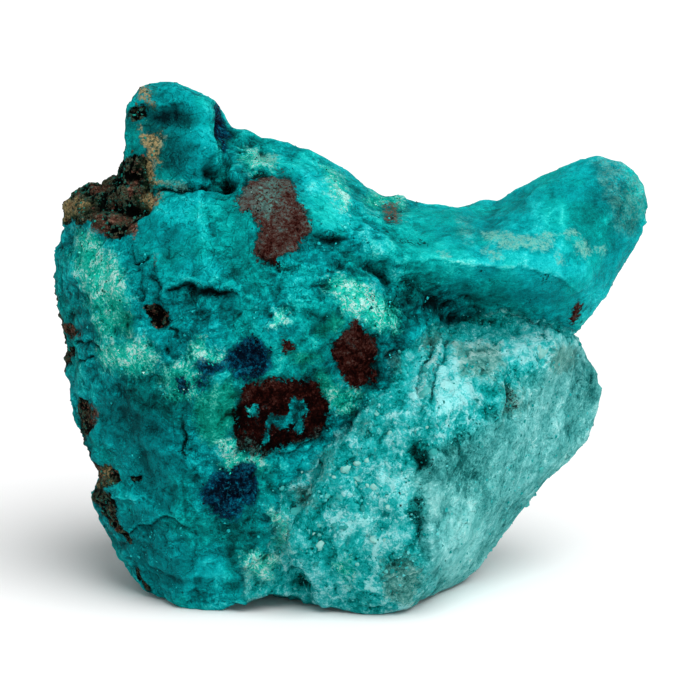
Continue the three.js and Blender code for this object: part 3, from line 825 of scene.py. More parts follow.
minerals["rust"] = {  # brick red and brown lumps
    "front": [
        [(-29.6, 15.2), (-28.4, 15.4), (-27.9, 13.9), (-28.7, 13.0), (-29.5, 13.9)],
        [(-28.0, 16.0), (-26.3, 16.1), (-26.1, 15.2), (-27.5, 14.7)],
        [(-26.3, 14.6), (-25.0, 14.8), (-25.4, 12.9), (-26.2, 13.4)],
        [(-26.3, 19.5), (-25.6, 19.9), (-25.2, 18.8), (-25.9, 18.1)],
        [(-30.1, 19.5), (-28.2, 19.5), (-28.4, 18.8), (-30.1, 18.7)],
        [(-34.1, 2.8), (-32.4, 2.9), (-32.1, 1.9), (-33.4, 1.4)],
        [(-22.8, 10.9), (-22.2, 10.9), (-22.2, 10.0), (-22.8, 10.0)],
        [(-30.6, -6.1), (-29.9, -7.1), (-29.9, -8.7), (-30.4, -8.5)],
        [(-29.9, -13.4), (-28.7, -13.6), (-28.9, -15.3), (-29.9, -15.0)],
        [(3.8, 16.7), (5.6, 17.0), (6.0, 15.2), (5.2, 14.7), (4.2, 15.6)],
    ],
    "back": [[(24, 16), (29, 17), (30, 12), (25, 11)]],
}
minerals["veil"] = {  # grey-green film over the brown patches
    "front": [
        [(-10.3, 19.3), (-8.9, 19.5), (-7.8, 19.0), (-8.7, 17.2), (-9.4, 15.5), (-10.8, 16.1),
         (-11.5, 17.4)],
        [(-7.8, 20.5), (-6.1, 20.1), (-4.7, 17.6), (-4.2, 13.4), (-5.2, 12.7), (-5.2, 16.0), (-6.3, 18.6)],
        [(-13.2, 19.5), (-11.8, 19.7), (-12.5, 17.9), (-13.2, 17.4)],
        [(-12.9, -10.6), (-10.3, -11.3), (-9.4, -12.7), (-12.9, -12.7)],
        [(-6.3, -10.6), (-3.8, -9.9), (-3.1, -10.6), (-5.9, -11.8)],
    ],
    "back": [[(14, 13), (17, 12), (17, 7), (14, 8)]],
}
# black grains, and at two places painted shadow
minerals["tenorite"] = {  # black grains
    "front": [
        [(2.1, 7.1), (3.2, 7.2), (3.3, 6.0), (2.4, 5.9)],
        [(4.1, 5.3), (4.8, 5.4), (4.7, 4.3), (4.1, 4.2)],
        [(14.8, 9.8), (15.8, 9.8), (15.8, 9.1), (14.9, 9.1)],
        [(16.1, 8.2), (17.3, 8.3), (17.4, 7.2), (16.3, 7.1)],
        [(20.7, 6.2), (21.7, 6.3), (21.9, 5.5), (20.8, 5.4)],
        [(22.5, 8.6), (23.4, 8.7), (23.3, 7.4), (22.6, 7.5)],
        [(5.4, 7.5), (5.9, 7.5), (5.9, 6.3), (5.3, 6.3)],
        [(6.1, 12.9), (8.7, 13.2), (9.4, 12.6), (6.3, 12.3)],
        # painted shade at the head of the hollow under the shoulder
        [(-4.0, 13.4), (-1.9, 13.9), (-0.7, 13.3), (-2.8, 12.3)],
        [(-11.0, 12.2), (-10.3, 11.0), (-8.2, 10.3), (-6.1, 9.9), (-8.5, 9.4), (-10.3, 10.1)],
        # painted shadow under the ledge below the upper face
        [(-20.0, 7.5), (-17.6, 7.9), (-15.5, 7.3), (-13.2, 6.5), (-16.0, 6.2), (-18.1, 6.9)],
        [(-22.3, 18.8), (-19.3, 18.9), (-16.0, 19.2), (-14.3, 19.0), (-16.0, 18.5), (-19.3, 18.6)],
        [(-11.8, 20.0), (-10.6, 20.5), (-9.4, 20.6), (-10.3, 20.0)],
        [(18.6, -4.7), (19.7, -4.8), (19.9, -7.1), (18.7, -7.3)],
        [(7.2, -17.2), (8.2, -17.6), (8.7, -20.0), (8.2, -23.0), (7.3, -21.2)],
        [(7.6, -11.5), (9.4, -11.3), (9.6, -13.2), (8.0, -13.9)],
        [(-7.3, -17.4), (-6.0, -17.4), (-6.0, -18.6), (-7.2, -18.7)],
        [(-24.5, 5.4), (-22.6, 5.6), (-21.6, 4.2), (-22.3, 2.4), (-23.7, 2.6)],
        [(-29.9, 17.4), (-27.0, 17.4), (-26.8, 16.2), (-29.6, 15.8), (-30.6, 16.2)],
        [(-26.6, 17.3), (-24.2, 17.0), (-24.0, 15.8), (-26.1, 15.6)],
        [(-26.1, 21.6), (-24.9, 22.1), (-24.0, 20.9), (-24.5, 19.5), (-25.4, 20.5)],
        [(-24.9, 19.3), (-23.5, 19.5), (-23.7, 18.3), (-24.7, 18.1)],
        [(-31.5, 16.0), (-29.9, 15.8), (-29.9, 15.0), (-31.3, 15.3)],
        [(-13.9, -5.9), (-12.9, -5.6), (-12.9, -9.4), (-13.9, -9.6)],
        [(-20.0, -7.3), (-19.0, -7.3), (-18.8, -12.2), (-20.0, -12.5)],
    ],
    "back": [[(-15, 13), (-6, 8), (2, 9), (-5, 7)]],
}
minerals["greyQuartz"] = {
    "front": [
        [(12.2, 0.5), (14.8, 0.9), (17.6, 0.2), (17.9, -1.6), (16.7, -3.8), (14.6, -3.5), (12.7, -2.6)],
        [(23.3, 0.2), (26.1, 0.5), (26.8, -1.6), (24.7, -2.6), (23.0, -1.6)],
        [(18.1, -4.2), (20.0, -4.2), (20.2, -7.3), (18.3, -7.5)],
        [(3.5, -24.7), (7.3, -24.2), (8.7, -27.0), (7.1, -29.9), (4.0, -29.4)],
        [(-6.3, -16.2), (-4.5, -16.0), (-4.5, -18.1), (-6.1, -18.3)],
        [(8.9, 1.4), (10.6, 1.9), (10.1, -0.2), (8.7, -0.7)],
    ],
    "back": [[(-30, -4), (-24, -2), (-22, -8), (-29, -10)]],
}
minerals["cream"] = {  # opaque pale buff
    "front": [
        [(-24.7, 30.9), (-23.6, 30.8), (-23.5, 28.9), (-24.7, 29.2)],
        [(-24.7, 26.3), (-23.4, 25.4), (-21.9, 25.4), (-22.7, 23.9), (-22.8, 22.6), (-22.2, 22.0),
         (-23.7, 22.0), (-23.5, 23.5), (-24.3, 24.8)],
        [(-22.8, 19.9), (-21.4, 19.5), (-19.5, 19.3), (-19.7, 19.0), (-21.6, 19.2), (-22.8, 19.5)],
        [(-24.1, 18.6), (-22.6, 18.6), (-22.3, 17.0), (-23.7, 16.3)],
        [(-33.4, 17.4), (-31.7, 17.6), (-30.3, 17.2), (-30.6, 16.2), (-32.0, 15.8), (-33.4, 15.8)],
        [(-24.0, 21.6), (-23.0, 21.9), (-22.6, 20.2), (-23.5, 19.7)],
        [(-29.3, -14.1), (-28.7, -14.2), (-28.8, -15.5), (-29.2, -15.5)],
        [(15.3, 13.5), (17.3, 13.9), (19.7, 13.4), (21.9, 13.6), (24.0, 13.4), (23.9, 12.6), (22.5, 11.4),
         (20.8, 12.1), (18.3, 12.1), (15.8, 12.7)],
        [(15.8, 11.8), (17.4, 11.6), (17.5, 10.8), (16.5, 10.8)],
        [(24.3, 11.3), (25.4, 11.3), (25.4, 10.3), (24.6, 10.3)],
        [(24.9, 13.8), (26.8, 14.3), (27.0, 13.6), (25.9, 13.0)],
        [(26.7, 12.7), (28.0, 12.9), (28.4, 11.5), (27.6, 10.9), (26.7, 11.6)],
        [(28.8, 11.9), (30.1, 12.1), (30.4, 11.3), (29.5, 10.7)],
        [(10.3, 11.2), (11.6, 11.5), (12.0, 10.8), (11.0, 10.7)],
        [(-11.5, 22.6), (-10.5, 23.4), (-8.9, 23.3), (-8.5, 22.1), (-10.3, 21.9)],
    ],
    "back": [[(4, 14), (10, 15), (12, 12), (6, 11)], [(-12, -14), (-8, -13), (-7, -17), (-11, -18)]],
}

# Broad changes of tone, darker below zero: across, up, wide, tall, turn, how much. Some are painted shade
# and some painted light, as marked.
tones = {
    "front": [
        (-24.7, -10.6, 5.9, 7.1, 0, -0.11), (-23.5, -22.9, 7.1, 4.7, -30, -0.09),
        (-23.5, -5.3, 4.2, 3.5, 0, -0.12), (-23.5, -18.2, 3.5, 2.8, 0, 0.05),
        # painted shade in the groove across the pillar (-21.7, 27.3) and in the hollow low on the pillar
        # (-16.9, 20.6)
        (-17.6, 14.1, 7.1, 4.0, 0, 0.03), (-21.7, 27.3, 3.8, 1.4, 0, -0.08),
        (-21.4, 22.3, 4.0, 2.8, 0, -0.18), (-16.9, 20.6, 1.3, 1.1, 0, -0.12),
        (-12.8, 19.7, 1.3, 1.2, 0, -0.22), (-17.0, 25.9, 0.7, 3.1, 0, 0.14),
        # the first spot here is painted light on the up-facing shoulder
        (-4.7, 18.8, 4.0, 3.1, -30, 0.22), (-11.2, 5.3, 2.1, 1.9, 0, 0.14),
        (7.6, -5.3, 1.2, 4.7, -8, 0.16), (-2.4, -25.9, 3.5, 2.8, 0, -0.04),
        (0.0, -20.0, 1.6, 2.8, 20, 0.14), (-5.9, -24.7, 1.9, 1.9, 0, 0.10),
        (12.9, -12.0, 3.5, 1.6, -20, -0.12), (0.0, -12.3, 3.1, 1.6, 30, -0.08),
        (31.7, 17.6, 3.1, 4.7, 0, -0.25), (-15.2, 26.8, 1.1, 2.4, -10, -0.5),
        (-18.8, 14.7, 5.9, 3.5, 0, -0.04), (-7.1, -12.3, 4.7, 1.4, -10, 0.05),
        (-11.8, 5.3, 7.1, 3.5, 0, -0.05), (14.1, 5.9, 9.4, 2.4, 6, -0.05),
        (-9.4, 22.6, 2.8, 1.6, 0, 0.12), (-1.2, 15.9, 3.1, 2.4, -30, 0.16),
        # painted highlight on the horn's top strip above the lip (9.4, 12.0); painted shade in the dent
        # under the shoulder (-2.4, 12.9)
        (9.4, 12.0, 7.1, 1.2, 4, 0.10), (-2.4, 12.9, 3.1, 0.9, 8, -0.2),
        (17.6, 15.9, 5.2, 2.1, 16, -0.02), (21.2, 15.9, 2.6, 2.4, 0, 0.02),
        (28.2, 14.7, 2.6, 3.1, 0, -0.04), (14.1, 6.3, 10.6, 1.9, 4, -0.04),
        (7.1, 5.2, 2.4, 1.6, 0, -0.08), (22.9, 4.5, 4.2, 1.4, 0, -0.10), (24.7, 9.9, 5.9, 1.4, 6, 0.06),
        # painted shade along the valley where the body turns away, from (5.3, 0.0) down to (-5.9, -13.2)
        (5.3, 0.0, 1.4, 3.5, 20, -0.18), (0.0, -8.0, 1.6, 5.4, 40, -0.16),
        (-5.9, -13.2, 1.6, 4.0, 40, -0.10), (1.6, 5.6, 2.6, 1.9, -30, 0.2),
        (-12.9, 4.7, 5.9, 3.5, 0, 0.05), (-17.6, 4.7, 3.1, 2.6, 0, -0.10),
        (-7.1, 2.4, 3.5, 2.8, 0, 0.04), (-17.0, -26.1, 1.9, 1.6, 0, 0.14),
        (-13.5, -23.5, 2.8, 2.4, 0, -0.10), (-11.8, -21.2, 3.5, 1.6, 0, -0.06),
        (17.6, 0.0, 7.1, 2.1, 6, 0.14), (7.1, -4.7, 1.4, 4.7, -20, 0.14),
        (11.8, -5.9, 2.4, 3.1, 0, 0.16), (3.5, -22.3, 4.7, 4.7, 0, 0.06),
        (-1.2, -20.0, 4.2, 4.7, 20, -0.06), (5.9, -27.6, 4.2, 2.1, -10, -0.10),
        (14.1, -14.1, 5.2, 3.5, -20, -0.10), (14.1, -22.3, 5.2, 5.9, 30, 0.06),
        (28.2, -4.7, 1.9, 4.7, 0, -0.08), (15.0, -1.4, 1.9, 1.9, 0, -0.14),
        (19.0, -6.0, 1.1, 1.5, -20, -0.3), (8.2, -12.3, 1.2, 1.4, 30, -0.26),
        (7.6, -20.0, 0.9, 3.8, 6, -0.22), (-6.7, -18.0, 0.9, 0.9, 0, -0.3),
        # the second spot here is a painted shadow under the ledge below the upper face
        (-33.4, 5.9, 1.4, 7.1, 0, -0.06), (-17.0, 6.9, 2.4, 0.5, -8, -0.30),
        (15.3, -21.2, 5.9, 4.7, 30, -0.05), (-28.8, 8.2, 3.1, 5.9, -10, 0.05),
        (-11.8, 5.9, 7.1, 4.2, 0, -0.03), (-4.7, 19.4, 3.5, 3.5, -30, -0.04),
        (-12.2, -1.2, 2.6, 2.6, 0, 0.07), (-4.7, -13.5, 5.2, 2.1, 30, 0.13),
        (-9.4, -22.9, 2.8, 4.7, 0, 0.10), (8.8, 7.6, 7.1, 2.6, 10, -0.04),
        (17.6, -0.2, 7.1, 1.9, 0, 0.06), (-5.9, 20.0, 5.9, 3.5, -20, -0.05),
        (8.8, 5.9, 7.1, 2.8, 10, -0.04), (-23.2, 24.3, 1.6, 2.6, 0, -0.14),
        (5.9, 17.0, 1.6, 0.9, 0, -0.05), (-13.4, -17.6, 3.3, 2.6, 0, -0.02),
        (-31.3, -2.6, 2.1, 1.9, 0, 0.06),
    ],
    "back": [
        (-16, 6, 10, 6, 20, 0.12), (12, 8, 10, 7, 0, -0.08), (6, -10, 9, 9, 0, -0.1),
        (-10, -12, 10, 7, 0, 0.1), (24, 14, 6, 8, 0, 0.1),
    ],
    "top": [
        (-18, 2, 8, 6, 0, 0.05),
    ],
}


def paint(mesh, name, values):
    mesh.attributes.new(name, "FLOAT", "POINT").data.foreach_set("value", values.astype(np.float32))


def paintStone(mesh, sheets, kept):
    for name, drawnSides in minerals.items():
        best = np.full(len(mesh.vertices), -4.0)
        for side, outlines in drawnSides.items():
            for outline in outlines:
                best = np.maximum(best, drawnOn(sheets, side, outline))
        paint(mesh, name, best)
    tone = np.zeros(len(mesh.vertices))
    for side, spots in tones.items():
        sheet = sheets[side]
        seen = seenFrom(sheets, side)
        for across, up, wide, tall, turn, amount in spots:
            tone += amount * sheet.spot(across, up, wide, tall, turn) * seen
    paint(mesh, "tone", tone)
    for name, values in kept.items():
        paint(mesh, name, values)


class Wire:
    # a value on its way through the nodes; arithmetic on it adds Math nodes
    def __init__(self, finish, socket):
        self.finish, self.socket = finish, socket

    def maths(self, operation, a, b=None):
        values = {0: a} if b is None else {0: a, 1: b}
        return self.finish.node("ShaderNodeMath", {"operation": operation}, values)

    def __add__(self, other):
        return self.maths("ADD", self, other)

    def __radd__(self, other):
        return self.maths("ADD", other, self)

    def __sub__(self, other):
        return self.maths("SUBTRACT", self, other)

    def __rsub__(self, other):
        return self.maths("SUBTRACT", other, self)

    def __mul__(self, other):
        return self.maths("MULTIPLY", self, other)

    def __rmul__(self, other):
        return self.maths("MULTIPLY", other, self)

    def __abs__(self):
        return self.maths("ABSOLUTE", self)

    def over(self, other):
        return self.maths("MAXIMUM", self, other)

    def under(self, other):
        return self.maths("MINIMUM", self, other)

    def step(self, low, high):
        # 0 below low, 1 above high, smooth between
        values = {"Value": self, "From Min": low, "From Max": high}
        return self.finish.node("ShaderNodeMapRange", {"interpolation_type": "SMOOTHSTEP"}, values)


class Finish:
    def __init__(self, name):
        self.material = bpy.data.materials.new(name)
        self.material.use_nodes = True
        self.tree = self.material.node_tree
        self.tree.nodes.clear()
        place = self.node("ShaderNodeTexCoord", output="Object")
        self.place = self.node("ShaderNodeMapping", {}, {"Vector": place, "Scale": (1 / mm,) * 3})

    def node(self, kind, settings=None, values=None, output=0):
        made = self.tree.nodes.new(kind)
        for key, value in (settings or {}).items():
            if key == "stops":
                ramp = made.color_ramp
                for at, colour in value[2:]:
                    ramp.elements.new(at)
                for element, (at, colour) in zip(ramp.elements, sorted(value)):
                    element.position, element.color = at, (*colour, 1)
            else:
                setattr(made, key, value)
        for key, value in (values or {}).items():
            if isinstance(value, Wire):
                self.tree.links.new(value.socket, made.inputs[key])
            else:
                made.inputs[key].default_value = value
        return Wire(self, made.outputs[output])

    def noise(self, size, detail=2, roughness=0.5, place=None, distortion=0.0, output=0):
        values = {"Vector": place or self.place, "Scale": 1 / size, "Detail": detail}
        values.update({"Roughness": roughness, "Distortion": distortion})
        return self.node("ShaderNodeTexNoise", {}, values, output)

    def cells(self, size, feature, place, output=0):
        values = {"Vector": place, "Scale": 1 / size}
        return self.node("ShaderNodeTexVoronoi", {"feature": feature}, values, output)

    def seams(self, size, place, low, high):
        # a net of thin seams between cells: 1 along them, 0 in the cells
        return 1 - self.cells(size, "DISTANCE_TO_EDGE", place).step(low, high)

    def tints(self, size, place):
        # every grain its own shade from 0 to 1
        colour = self.cells(size, "F1", place, "Color")
        return self.node("ShaderNodeSeparateColor", {}, {"Color": colour}, "Red")

    def threads(self, size, place, thinness):
        # winding threads: 1 along the middle of each
        return (1 - abs(self.noise(size, 2, 0.5, place, 0.5) - 0.5) * thinness).over(0)

    def painted(self, name):
        return self.node("ShaderNodeAttribute", {"attribute_name": name}, output="Fac")

    def ramp(self, value, stops):
        return self.node("ShaderNodeValToRGB", {"stops": stops}, {"Fac": value})

    def mix(self, share, a, b, how="MIX"):
        a, b = (c if isinstance(c, Wire) else (*c, 1) for c in (a, b))
        settings = {"data_type": "RGBA", "blend_type": how}
        return self.node("ShaderNodeMix", settings, {0: share, 6: a, 7: b}, 2)

    def moved(self, offset, amount):
        # the place, pushed about by a noise colour, for frayed and folded patterns
        centred = self.node("ShaderNodeVectorMath", {"operation": "SUBTRACT"}, {0: offset, 1: (0.5,) * 3})
        pushed = self.node("ShaderNodeVectorMath", {"operation": "SCALE"}, {0: centred, "Scale": amount})
        return self.node("ShaderNodeVectorMath", {"operation": "ADD"}, {0: self.place, 1: pushed})

    def stretched(self, along, turn, place):
        values = {"Vector": place, "Scale": along, "Rotation": [math.radians(t) for t in turn]}
        return self.node("ShaderNodeMapping", {}, values)

    def end(self, colour, roughness, height, depth, specular):
        bump = self.node("ShaderNodeBump", {}, {"Height": height, "Distance": depth * mm, "Strength": 1})
        values = {"Base Color": colour, "Roughness": roughness, "Normal": bump}
        values["Specular IOR Level"] = specular
        shader = self.node("ShaderNodeBsdfPrincipled", {}, values)
        out = self.tree.nodes.new("ShaderNodeOutputMaterial")
        self.tree.links.new(shader.socket, out.inputs["Surface"])
        return self.material


# Colours are linear. Each ramp runs from the darkest to the palest that the mineral shows.
stoneLook = {
    "teal": [
        (0.0, (0.0002, 0.012, 0.015)), (1.0, (0.45, 0.90, 0.88)), (0.2, (0.0003, 0.070, 0.076)),
        (0.4, (0.0004, 0.205, 0.220)), (0.55, (0.0008, 0.37, 0.39)), (0.7, (0.012, 0.55, 0.56)),
        (0.85, (0.12, 0.74, 0.73)),
    ],
    "granular": [
        (0.0, (0.0003, 0.025, 0.024)), (1.0, (0.30, 0.78, 0.79)), (0.2, (0.0006, 0.11, 0.10)),
        (0.4, (0.001, 0.27, 0.26)), (0.55, (0.004, 0.38, 0.375)), (0.7, (0.022, 0.49, 0.495)),
        (0.85, (0.10, 0.60, 0.61)),
    ],
    "chalky": [
        (0.0, (0.001, 0.035, 0.037)), (1.0, (0.60, 0.90, 0.86)), (0.2, (0.006, 0.12, 0.118)),
        (0.4, (0.045, 0.28, 0.275)), (0.55, (0.115, 0.44, 0.43)), (0.7, (0.21, 0.59, 0.58)),
        (0.85, (0.36, 0.75, 0.73)),
    ],
    "grey": [
        (0.0, (0.004, 0.05, 0.045)), (1.0, (0.40, 0.62, 0.57)), (0.45, (0.06, 0.24, 0.21)),
        (0.7, (0.17, 0.42, 0.37)),
    ],
    "malachite": [
        (0.0, (0.0004, 0.020, 0.012)), (1.0, (0.12, 0.60, 0.47)), (0.25, (0.0006, 0.10, 0.065)),
        (0.45, (0.0008, 0.20, 0.14)), (0.7, (0.004, 0.36, 0.26)),
    ],
    "silky": [
        (0.0, (0.0004, 0.026, 0.018)), (1.0, (0.46, 0.84, 0.76)), (0.25, (0.0008, 0.155, 0.110)),
        (0.43, (0.001, 0.38, 0.280)), (0.58, (0.003, 0.54, 0.40)), (0.8, (0.065, 0.69, 0.56)),
    ],
    "azurite": [
        (0.0, (0.0001, 0.0004, 0.004)), (1.0, (0.001, 0.24, 0.33)), (0.33, (0.0002, 0.0020, 0.011)),
        (0.5, (0.0004, 0.017, 0.042)), (0.68, (0.0006, 0.060, 0.115)),
    ],
    "cuprite": [
        (0.0, (0.0020, 0.0002, 0.0002)), (1.0, (0.09, 0.13, 0.12)), (0.25, (0.010, 0.0014, 0.0009)),
        (0.45, (0.034, 0.006, 0.0040)), (0.6, (0.050, 0.018, 0.014)), (0.75, (0.074, 0.040, 0.033)),
        (0.88, (0.080, 0.064, 0.054)),
    ],
    "crust": [
        (0.0, (0.13, 0.060, 0.042)), (1.0, (0.01, 0.26, 0.21)), (0.18, (0.050, 0.022, 0.014)),
        (0.32, (0.004, 0.007, 0.004)), (0.42, (0.015, 0.042, 0.024)), (0.50, (0.15, 0.14, 0.09)),
        (0.57, (0.030, 0.036, 0.020)), (0.66, (0.004, 0.040, 0.028)), (0.80, (0.025, 0.13, 0.095)),
    ],
    "rust": [
        (0.0, (0.004, 0.008, 0.005)), (1.0, (0.34, 0.20, 0.14)), (0.3, (0.022, 0.020, 0.012)),
        (0.5, (0.10, 0.036, 0.024)), (0.72, (0.16, 0.075, 0.052)),
    ],
    "cream": (0.16, 0.46, 0.38),
    "buff": (0.38, 0.28, 0.13),
    "olive": (0.012, 0.045, 0.020),
    "black": (0.0008, 0.0012, 0.0009),
    "greener": (1.0, 1.0, 0.90),
    "tealValue": 0.36, "sandValue": 0.53,  # how light each ground is before its patterns
    "roughness": 0.62,
    "specular": 0.015,
    "bumpDepth": 0.22,  # mm
}

# The sizes of the patterns that the colours are made of, in mm.
stoneGrain = {
    "broad": 6.0, "middle": 1.8, "fine": 0.5, "dust": 0.16, "mixed": 1.3, "grit": 0.32, "hairs": 0.62,
    "streaks": 0.75, "chips": 0.42, "darkThreads": 1.5, "paleThreads": 1.1, "hairCracks": 2.6,
    "splinters": 2.0, "grains": 0.95, "veins": 3.0, "feathers": 0.9, "flecks": 1.4, "chalk": 2.4,
    "greyed": 2.6, "greener": 8.0,
}


def stoneFinish():
    look, size = stoneLook, stoneGrain
    f = Finish("waxyChrysocolla")
    folded = f.moved(f.noise(3.0, 3, 0.6, output="Color"), 2.4)
    frayed = f.moved(f.noise(0.8, 2, 0.65, output="Color"), 0.8)
    curled = f.moved(f.noise(1.1, 1, 0.5, output="Color"), 1.4)
    broad = f.noise(size["broad"], 3, 0.55, folded)
    middle = f.noise(size["middle"], 6, 0.68, folded)
    fine = f.noise(size["fine"], 5, 0.72, frayed)
    dust = f.noise(size["dust"], 2, 0.6)
    mixed = f.noise(size["mixed"], 8, 0.74, folded)
    grit = f.noise(size["grit"], 4, 0.75, frayed)
    hairs = f.threads(size["hairs"], curled, 8)
    fray = (fine - 0.5) * 3.2 + (middle - 0.5) * 3.0

    sandy = f.painted("sandy")
    smoothSand = f.painted("smoothSand")
    horn = f.painted("horn")
    rough = 1 - 0.65 * f.painted("calm")
    fineHollow = f.painted("fineHollow")
    broadHollow = f.painted("broadHollow")
    paler = (f.painted("paler") + fray * 0.6).step(-0.5, 0.5)
    patches = paler - (f.painted("deeper") + fray * 0.6).step(-0.5, 0.5)
    # the pale edges are painted highlight and wear; some tone spots and darker patches are painted shade,
    # and some tone spots painted light
    tone = f.painted("tone") + f.painted("worn") * 0.16 + patches * (0.11 + sandy * 0.06)
    # painted shade and light: the colour darkens in the mesh's hollows and lightens on its proud points
    shadeAndLightByHollow = 0 - fineHollow.over(-0.10).under(0.14) * 0.8
    shadeAndLightByHollow = shadeAndLightByHollow - (broadHollow - 0.05).over(-0.5).under(0.7) * 0.16

    # waxy teal, with dark and light threads winding through it and a net of hair cracks
    streaks = f.noise(size["streaks"], 6, 0.72, f.stretched((0.55, 1.0, 1.3), (0, 14, 0), folded))
    chips = f.tints(size["chips"], frayed)
    darkThreads = f.threads(size["darkThreads"], folded, 26) * middle.step(0.48, 0.58) * (1 - horn * 0.7)
    paleThreads = f.threads(size["paleThreads"], f.stretched((1, 1, 1.5), (0, 20, 0), folded), 20)
    paleThreads = paleThreads * broad.step(0.46, 0.58)
    hairCracks = f.seams(size["hairCracks"], folded, 0.0, 0.035) * fine.step(0.46, 0.56) * (1 - horn * 0.8)
    value = look["tealValue"] + tone + shadeAndLightByHollow + horn * 0.09 + (broad - 0.5) * 0.35 + (dust - 0.5) * 0.30
    swirls = (middle - 0.5) * 0.60 + (streaks - 0.5) * 0.70 + (fine - 0.5) * 0.65 + hairs * 0.07
    value = value + swirls * rough
    value = value + (chips - 0.5) * 0.06 * rough - darkThreads * 0.14 + paleThreads * 0.13
    teal = f.ramp(value - hairCracks * 0.16 * rough, look["teal"])

    # the sandy face: splinters and grains of every shade, with white veins between them
    splinters = f.tints(size["splinters"], f.stretched((1.0, 1.0, 0.55), (0, 28, 0), folded))
    grains = f.tints(size["grains"], frayed)
    veins = f.seams(size["veins"], folded, 0.01, 0.06) * mixed.step(0.44, 0.54)
    feathers = f.noise(size["feathers"], 7, 0.74, f.stretched((1.0, 1.0, 0.42), (0, 38, 0), folded))
    flecks = (1 - f.cells(size["flecks"], "F1", frayed).step(0.08, 0.20)) * middle.step(0.50, 0.60)
    grainy = (1 - 0.5 * smoothSand) * (1 - 0.45 * paler)
    sandValue = look["sandValue"] + tone + shadeAndLightByHollow - smoothSand * 0.05
    sandValue = sandValue + (broad - 0.5) * 0.45 + (dust - 0.5) * 0.30
    sandValue = sandValue + ((mixed - 0.5) * 0.75 + (grit - 0.5) * 0.95 + (splinters - 0.5) * 0.34) * grainy
    sandValue = sandValue + (feathers - 0.5) * (0.75 - smoothSand * 0.25)
    sandValue = sandValue + ((grains - 0.5) * 0.24 + (chips - 0.5) * 0.20 + hairs * 0.08) * grainy
    sandValue = sandValue - flecks * 0.22
    sandValue = sandValue + paleThreads * 0.14 + veins * 0.18 * grainy - darkThreads * 0.12
    chalky = (smoothSand * 0.8).over(f.noise(size["chalk"], 6, 0.7, folded).step(0.56, 0.66) * 0.22)
    sand = f.mix(chalky, f.ramp(sandValue, look["granular"]), f.ramp(sandValue, look["chalky"]))
    greyed = f.noise(size["greyed"], 7, 0.72, frayed).step(0.55, 0.66) * 0.22
    grey = (f.painted("greyQuartz") + fray).step(-0.6, 0.6) * 0.75
    sand = f.mix(greyed.over(grey), sand, f.ramp(sandValue - 0.06, look["grey"]))
    inSand = (sandy + fray * 0.25).step(0.3, 0.7)
    colour = f.mix(inSand, teal, sand)
    greener = f.noise(size["greener"], 3, 0.6).step(0.42, 0.62) * (1 - sandy * 0.85)
    colour = f.mix(greener, colour, look["greener"], "MULTIPLY")

    # malachite, silky fibres and grains of other minerals
    green = (f.painted("malachite") + fray).step(-0.7, 0.7)
    colour = f.mix(green * 0.9, colour, f.ramp(value + hairs * 0.16, look["malachite"]))
    wisp = (f.painted("wisps") + fray * 1.1).step(-1.2, 0.8)
    whiter = (f.painted("whiter") + fray * 1.2).step(-0.9, 0.7)
    silk = value * 0.8 + hairs * 0.40 * middle.step(0.40, 0.56) + (grit - 0.5) * 0.60 + 0.16 + whiter * 0.08
    colour = f.mix(wisp.over(whiter), colour, f.ramp(silk, look["silky"]))
    speckled = (f.painted("speckled") + fray).step(-0.6, 0.6) * (grit * 1.4 + mixed - 0.9).step(0.15, 0.5)
    colour = f.mix(speckled * 0.6, colour, f.ramp(value + 0.1, look["grey"]))

    # the rusty crust: lumps of brown, brick red and buff, with painted shade turning the hollows between
    # them black
    aside = f.node("ShaderNodeSeparateXYZ", {}, {"Vector": f.place}, "X")
    height = f.node("ShaderNodeSeparateXYZ", {}, {"Vector": f.place}, "Z")
    crust = (f.painted("crust") + fray * 0.55).step(0.42, 0.66)
    crustShade = (mixed - 0.5) * 2.6 + (grit - 0.5) * 2.2 + (middle - 0.5) * 0.8 + 0.56
    # painted shade: the crust's hollows turn black
    crustHollowShade = fineHollow * 1.4 + (middle - 0.5) * 0.5 + (fine - 0.5) * 0.5 + (mixed - 0.5) * 0.9
    crustColour = f.mix(crustHollowShade.step(-0.08, 0.04), f.ramp(crustShade, look["crust"]), look["black"])
    colour = f.mix(crust, colour, crustColour)
    rust = (f.painted("rust") + fray * 0.5).step(-0.2, 0.2) * (grit + fine * 0.5).step(0.62, 0.78)
    rustShade = (mixed - 0.5) * 2.4 + (grit - 0.5) * 2.2 + 0.46
    colour = f.mix(rust * 0.85, colour, f.ramp(rustShade, look["rust"]))

    # cream on the horn, buff with an olive rim on the left
    cream = (f.painted("cream") + fray * 0.7).step(-0.35, 0.35) * (grit + fine * 0.5).step(0.60, 0.80)
    leftEdge = (0 - aside).step(20, 22)
    olive = (f.painted("cream") + fray).step(-1.1, 0.2) * leftEdge * (middle + fine * 0.5).step(0.70, 0.82)
    colour = f.mix(olive * 0.75, colour, look["olive"])
    creamShare = cream * (0.35 + hairs * 0.3 + grit.step(0.44, 0.58) * 0.35)
    colour = f.mix(creamShare, colour, f.mix(leftEdge, look["cream"], look["buff"]))

